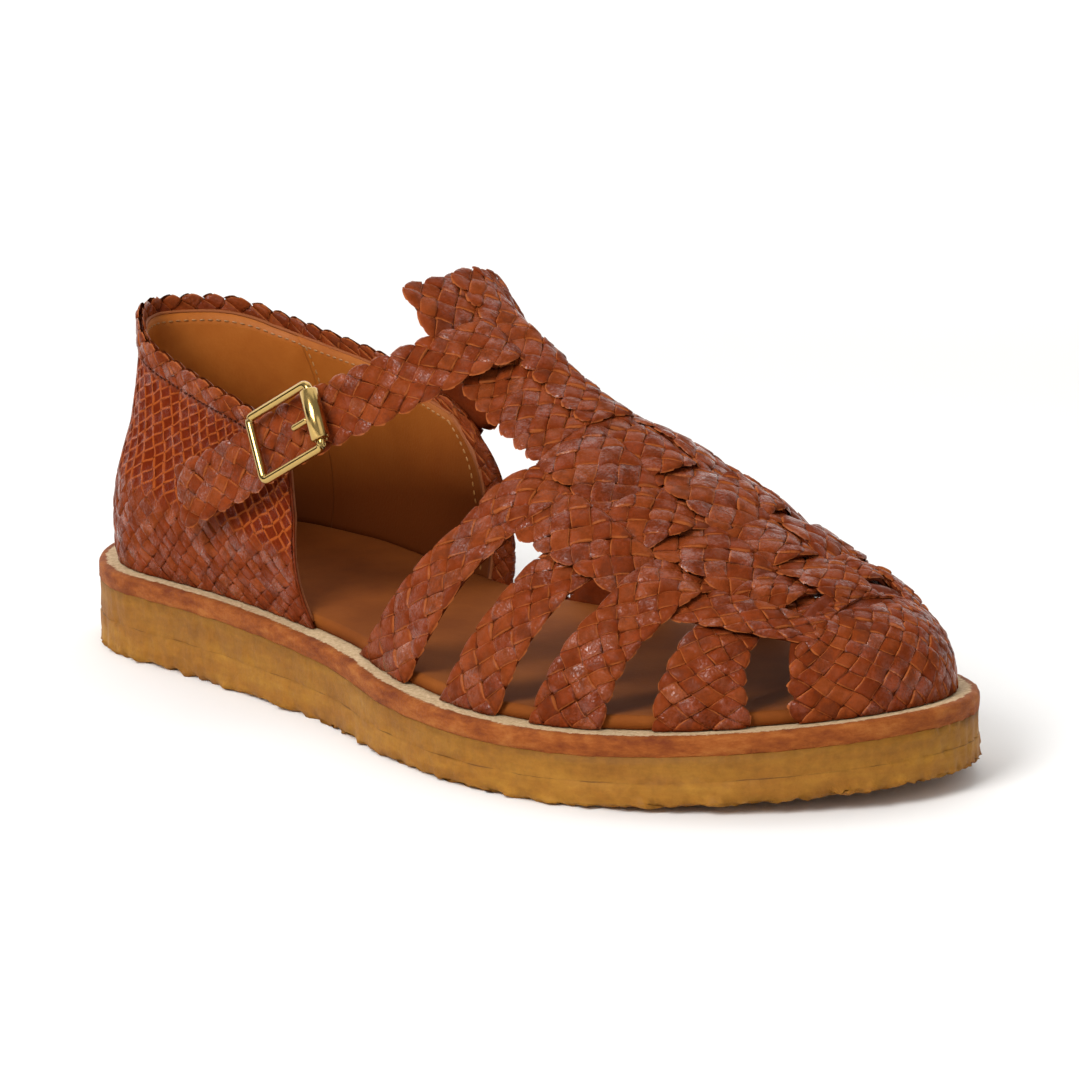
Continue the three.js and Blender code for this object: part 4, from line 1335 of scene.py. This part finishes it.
class SANDAL_OT_buckle(bpy.types.Operator):
    """Brass wire buckle with its roller and prong"""

    bl_idname = "sandal.buckle"
    bl_label = "Buckle"

    def execute(self, context):
        centre, axes = buckle_axes()
        half = np.array([BUCKLE["along"] / 2 - BUCKLE["wire"], BUCKLE["across"] / 2 - BUCKLE["wire"]])
        corner = BUCKLE["corner"]
        line = []
        for quarter, sign in enumerate(((1, 1), (-1, 1), (-1, -1), (1, -1))):
            for share in np.linspace(0, 1, 8):
                turn = (quarter + share) * math.pi / 2
                spot = (half - corner) * sign + corner * np.array([math.cos(turn), math.sin(turn)])
                line.append([*spot, 0])
        wire = tube(np.array(line) @ axes + centre, BUCKLE["wire"] * WIRE_SHARE, 16, closed=True)
        piece("buckle_wire", wire, "brass", "buckle_frame")

        turn = np.linspace(0, 2 * math.pi, 40, endpoint=False)
        outer, bore, bevel, reach = ROLLER["outer"], ROLLER["bore"], ROLLER["bevel"], ROLLER["length"] / 2
        section = [
            (bore, -reach),
            (outer - bevel, -reach),
            (outer, -reach + bevel),
            (outer, reach - bevel),
            (outer - bevel, reach),
            (bore, reach),
        ]
        rings = [
            np.stack([half[0] + r * np.cos(turn), np.full(turn.shape, h), r * np.sin(turn)], -1)
            for r, h in section
        ]
        points = np.concatenate(rings) @ axes + centre
        faces = grid_faces(len(rings) + 1, len(turn), closed=True) % len(points)
        piece("buckle_sleeve", (points, faces, {}), "brass", "buckle_roller")

        nose = PRONG["radius"] * PRONG["nose"]
        tip = half[0] + BUCKLE["wire"] - outer - PRONG["back"] + nose
        pin = np.linspace(tip - PRONG["length"] - PRONG["root"], tip, 12)
        pin = np.stack([pin, 0 * pin, np.full(pin.shape, -PRONG["drop"])], -1) @ axes + centre
        piece("buckle_pin", tube(pin, PRONG["radius"], 12), "brass", "buckle_prong")
        return {"FINISHED"}


def stitch_tree(thread):
    """Geometry nodes: short rounded stitches along every curve, at an even pitch."""
    tree = bpy.data.node_groups.new("Stitches along a line", "GeometryNodeTree")
    face = tree.interface
    face.new_socket("Line", in_out="INPUT", socket_type="NodeSocketGeometry")
    sockets = {
        name: face.new_socket(name, in_out="INPUT", socket_type="NodeSocketFloat").identifier
        for name in ("Pitch", "Length", "Radius")
    }
    face.new_socket("Stitches", in_out="OUTPUT", socket_type="NodeSocketGeometry")
    given = add(tree, "NodeGroupInput").outputs
    spaced = add(
        tree, "GeometryNodeResampleCurve", {"Curve": given["Line"], "Length": given["Pitch"]}, mode="LENGTH"
    )
    places = add(tree, "GeometryNodeCurveToPoints", {"Curve": spaced}, mode="EVALUATED").outputs
    shape = add(tree, "GeometryNodeMeshUVSphere", {"Segments": 6, "Rings": 5, "Radius": given["Radius"]})
    ratio = add(tree, "ShaderNodeMath", {0: given["Length"], 1: given["Radius"]}, operation="DIVIDE")
    halved = add(tree, "ShaderNodeMath", {0: ratio, 1: 0.5}, operation="MULTIPLY")
    scale = add(tree, "ShaderNodeCombineXYZ", {"X": 1.0, "Y": 1.0, "Z": halved})
    put = add(
        tree,
        "GeometryNodeInstanceOnPoints",
        {"Points": places["Points"], "Instance": shape, "Rotation": places["Rotation"], "Scale": scale},
    )
    real = add(tree, "GeometryNodeRealizeInstances", {"Geometry": put})
    painted = add(tree, "GeometryNodeSetMaterial", {"Geometry": real, "Material": thread})
    add(tree, "NodeGroupOutput", {"Stitches": painted})
    return tree, sockets


def sew(context, name, lines, thread):
    """Stitches along lines of points, as one piece of the upper."""
    sizes = context.scene.sandal_sizes
    curve = bpy.data.curves.new(name, "CURVE")
    curve.dimensions = "3D"
    for line in lines:
        spline = curve.splines.new("POLY")
        spline.points.add(len(line) - 1)
        flat = np.concatenate([placed(line), np.ones((len(line), 1))], 1)
        spline.points.foreach_set("co", flat.astype(np.float32).ravel())
    source = bpy.data.objects.new(name, curve)
    context.scene.collection.objects.link(source)
    tree, sockets = stitch_tree(finish(thread))
    modifier = source.modifiers.new("Stitches", "NODES")
    modifier.node_group = tree
    modifier[sockets["Pitch"]] = sizes.pitch
    modifier[sockets["Length"]] = sizes.stitch
    modifier[sockets["Radius"]] = sizes.thread
    mesh = bpy.data.meshes.new_from_object(source.evaluated_get(context.evaluated_depsgraph_get()))
    bpy.data.objects.remove(source)
    fitted(bpy.data.objects.new(name, mesh), "upper")


class SANDAL_OT_stitches(bpy.types.Operator):
    """Stitches of the lining, and the dark seam under the topline"""

    bl_idname = "sandal.stitches"
    bl_label = "Stitches"

    def execute(self, context):
        row, depth, dark, seam = STITCH_ROW, STITCH_DEPTH, DARK_ROW, LINING["seam"]
        start, clear = LINING["from"] + row["edge"], row["clear"]
        up = np.linspace(row["low"], row["high"], 60)
        quarter = [
            heel_line(np.linspace(start, seam - clear, 100), row["level"], depth["quarter"]),
            heel_line(start, up, depth["quarter"]),
            heel_line(seam - 2 * clear, up[len(up) // 2 :], depth["quarter"]),
        ]
        sew(context, "quarter_stitches", quarter, "thread")
        around = np.linspace(seam + clear, row["end"], 140)
        line = heel_line(around, row["level"], depth["heel"])
        sew(context, "heel_stitches", [line], "thread")
        around = np.linspace(dark["from"], dark["to"], 200)
        line = heel_line(around, dark["level"], dark["proud"])
        sew(context, "counter_seam", [line], "dark_thread")
        return {"FINISHED"}


def board(name, corners, paint):
    """Flat board of the stage."""
    mesh = bpy.data.meshes.new(name)
    mesh.from_pydata(corners, [], [(0, 1, 2, 3)])
    mesh.materials.append(paint)
    thing = bpy.data.objects.new(name, mesh)
    bpy.context.scene.collection.objects.link(thing)


def upright(row):
    """Corners of an upright board between two places on the floor."""
    first, last, height = row["from"], row["to"], row["height"]
    return [(*first, 0), (*last, 0), (*last, height), (*first, height)]


class SANDAL_OT_stage(bpy.types.Operator):
    """Pale floor, soft studio light and the camera at the photograph's angle"""

    bl_idname = "sandal.stage"
    bl_label = "Stage"

    def execute(self, context):
        scene = context.scene
        white = (1, 1, 1, 1)
        paper = {"Base Color": scene.sandal_colours.floor, "Emission Color": white}
        paint, tree, shader = material("Matt paper floor", 0.9, ior=1.45)
        place = add(tree, "ShaderNodeTexCoord").outputs["Object"]
        away = add(tree, "ShaderNodeVectorMath", {0: place}, operation="LENGTH")
        glow = add(
            tree,
            "ShaderNodeMapRange",
            {"Value": away, "From Min": 0.4, "From Max": 1.3, "To Max": 0.7},
            interpolation_type="SMOOTHSTEP",
        )
        feed(tree, shader, {**paper, "Emission Strength": glow})
        half = FLOOR_HALF
        board("floor", [(-half, -half, 0), (half, -half, 0), (half, half, 0), (-half, half, 0)], paint)
        paint, tree, shader = material("Lit paper backdrop", 0.9, ior=1.45)
        feed(tree, shader, {**paper, "Emission Strength": BACKDROP_LIGHT})
        board("backdrop", upright(BACKDROP), paint)
        paint, tree, shader = material("Black felt flag", 0.95, ior=1.45)
        feed(tree, shader, {"Base Color": linear("#0C0A08")})
        board("flag", upright(FLAG), paint)

        for row in LAMPS:
            data = bpy.data.lights.new(row["name"], "AREA")
            data.energy = row["power"]
            data.size = row["size"]
            lamp = bpy.data.objects.new(row["name"], data)
            lamp.location = row["place"]
            aim = Vector(LAMP_AIM) - lamp.location
            lamp.rotation_euler = aim.to_track_quat("-Z", "Y").to_euler()
            scene.collection.objects.link(lamp)
        world = bpy.data.worlds.new("Studio")
        world.use_nodes = True
        back = world.node_tree.nodes["Background"]
        feed(world.node_tree, back, {"Color": white, "Strength": WORLD_LIGHT})
        scene.world = world
        scene.view_settings.view_transform = "Standard"

        data = bpy.data.cameras.new("camera")
        data.lens = LENS
        data.sensor_width = SENSOR
        camera = bpy.data.objects.new("camera", data)
        camera.location = CAMERA_PLACE
        camera.rotation_euler = [math.radians(angle) for angle in CAMERA_TURN]
        scene.collection.objects.link(camera)
        scene.camera = camera
        return {"FINISHED"}


STEPS = [
    SANDAL_OT_outsole,
    SANDAL_OT_welt,
    SANDAL_OT_footbed,
    SANDAL_OT_counter,
    SANDAL_OT_straps,
    SANDAL_OT_vamp,
    SANDAL_OT_ankle,
    SANDAL_OT_buckle,
    SANDAL_OT_stitches,
    SANDAL_OT_stage,
]


class SANDAL_PT_panel(bpy.types.Panel):
    """Sidebar panel that lists the sandal's pieces, sizes and colours"""

    bl_idname = "SANDAL_PT_panel"
    bl_label = "Fisherman sandal"
    bl_space_type = "VIEW_3D"
    bl_region_type = "UI"
    bl_category = "Sandal"

    def draw(self, context):
        for step in STEPS:
            self.layout.operator(step.bl_idname)
        for group in (context.scene.sandal_sizes, context.scene.sandal_colours):
            for name in group.bl_rna.properties.keys():
                if name not in {"rna_type", "name"}:
                    self.layout.prop(group, name)


CLASSES = [SandalSizes, SandalColours, *STEPS, SANDAL_PT_panel]


def register():
    """Adds the classes, and the sizes and colours to the scene."""
    for kind in CLASSES:
        bpy.utils.register_class(kind)
    bpy.types.Scene.sandal_sizes = PointerProperty(type=SandalSizes)
    bpy.types.Scene.sandal_colours = PointerProperty(type=SandalColours)


def unregister():
    """Takes away what register adds."""
    del bpy.types.Scene.sandal_sizes
    del bpy.types.Scene.sandal_colours
    for kind in reversed(CLASSES):
        bpy.utils.unregister_class(kind)


def main():
    """Builds the sandal."""
    register()
    for step in STEPS:
        group, name = step.bl_idname.split(".")
        getattr(getattr(bpy.ops, group), name)()
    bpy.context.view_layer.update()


if __name__ == "__main__":
    main()
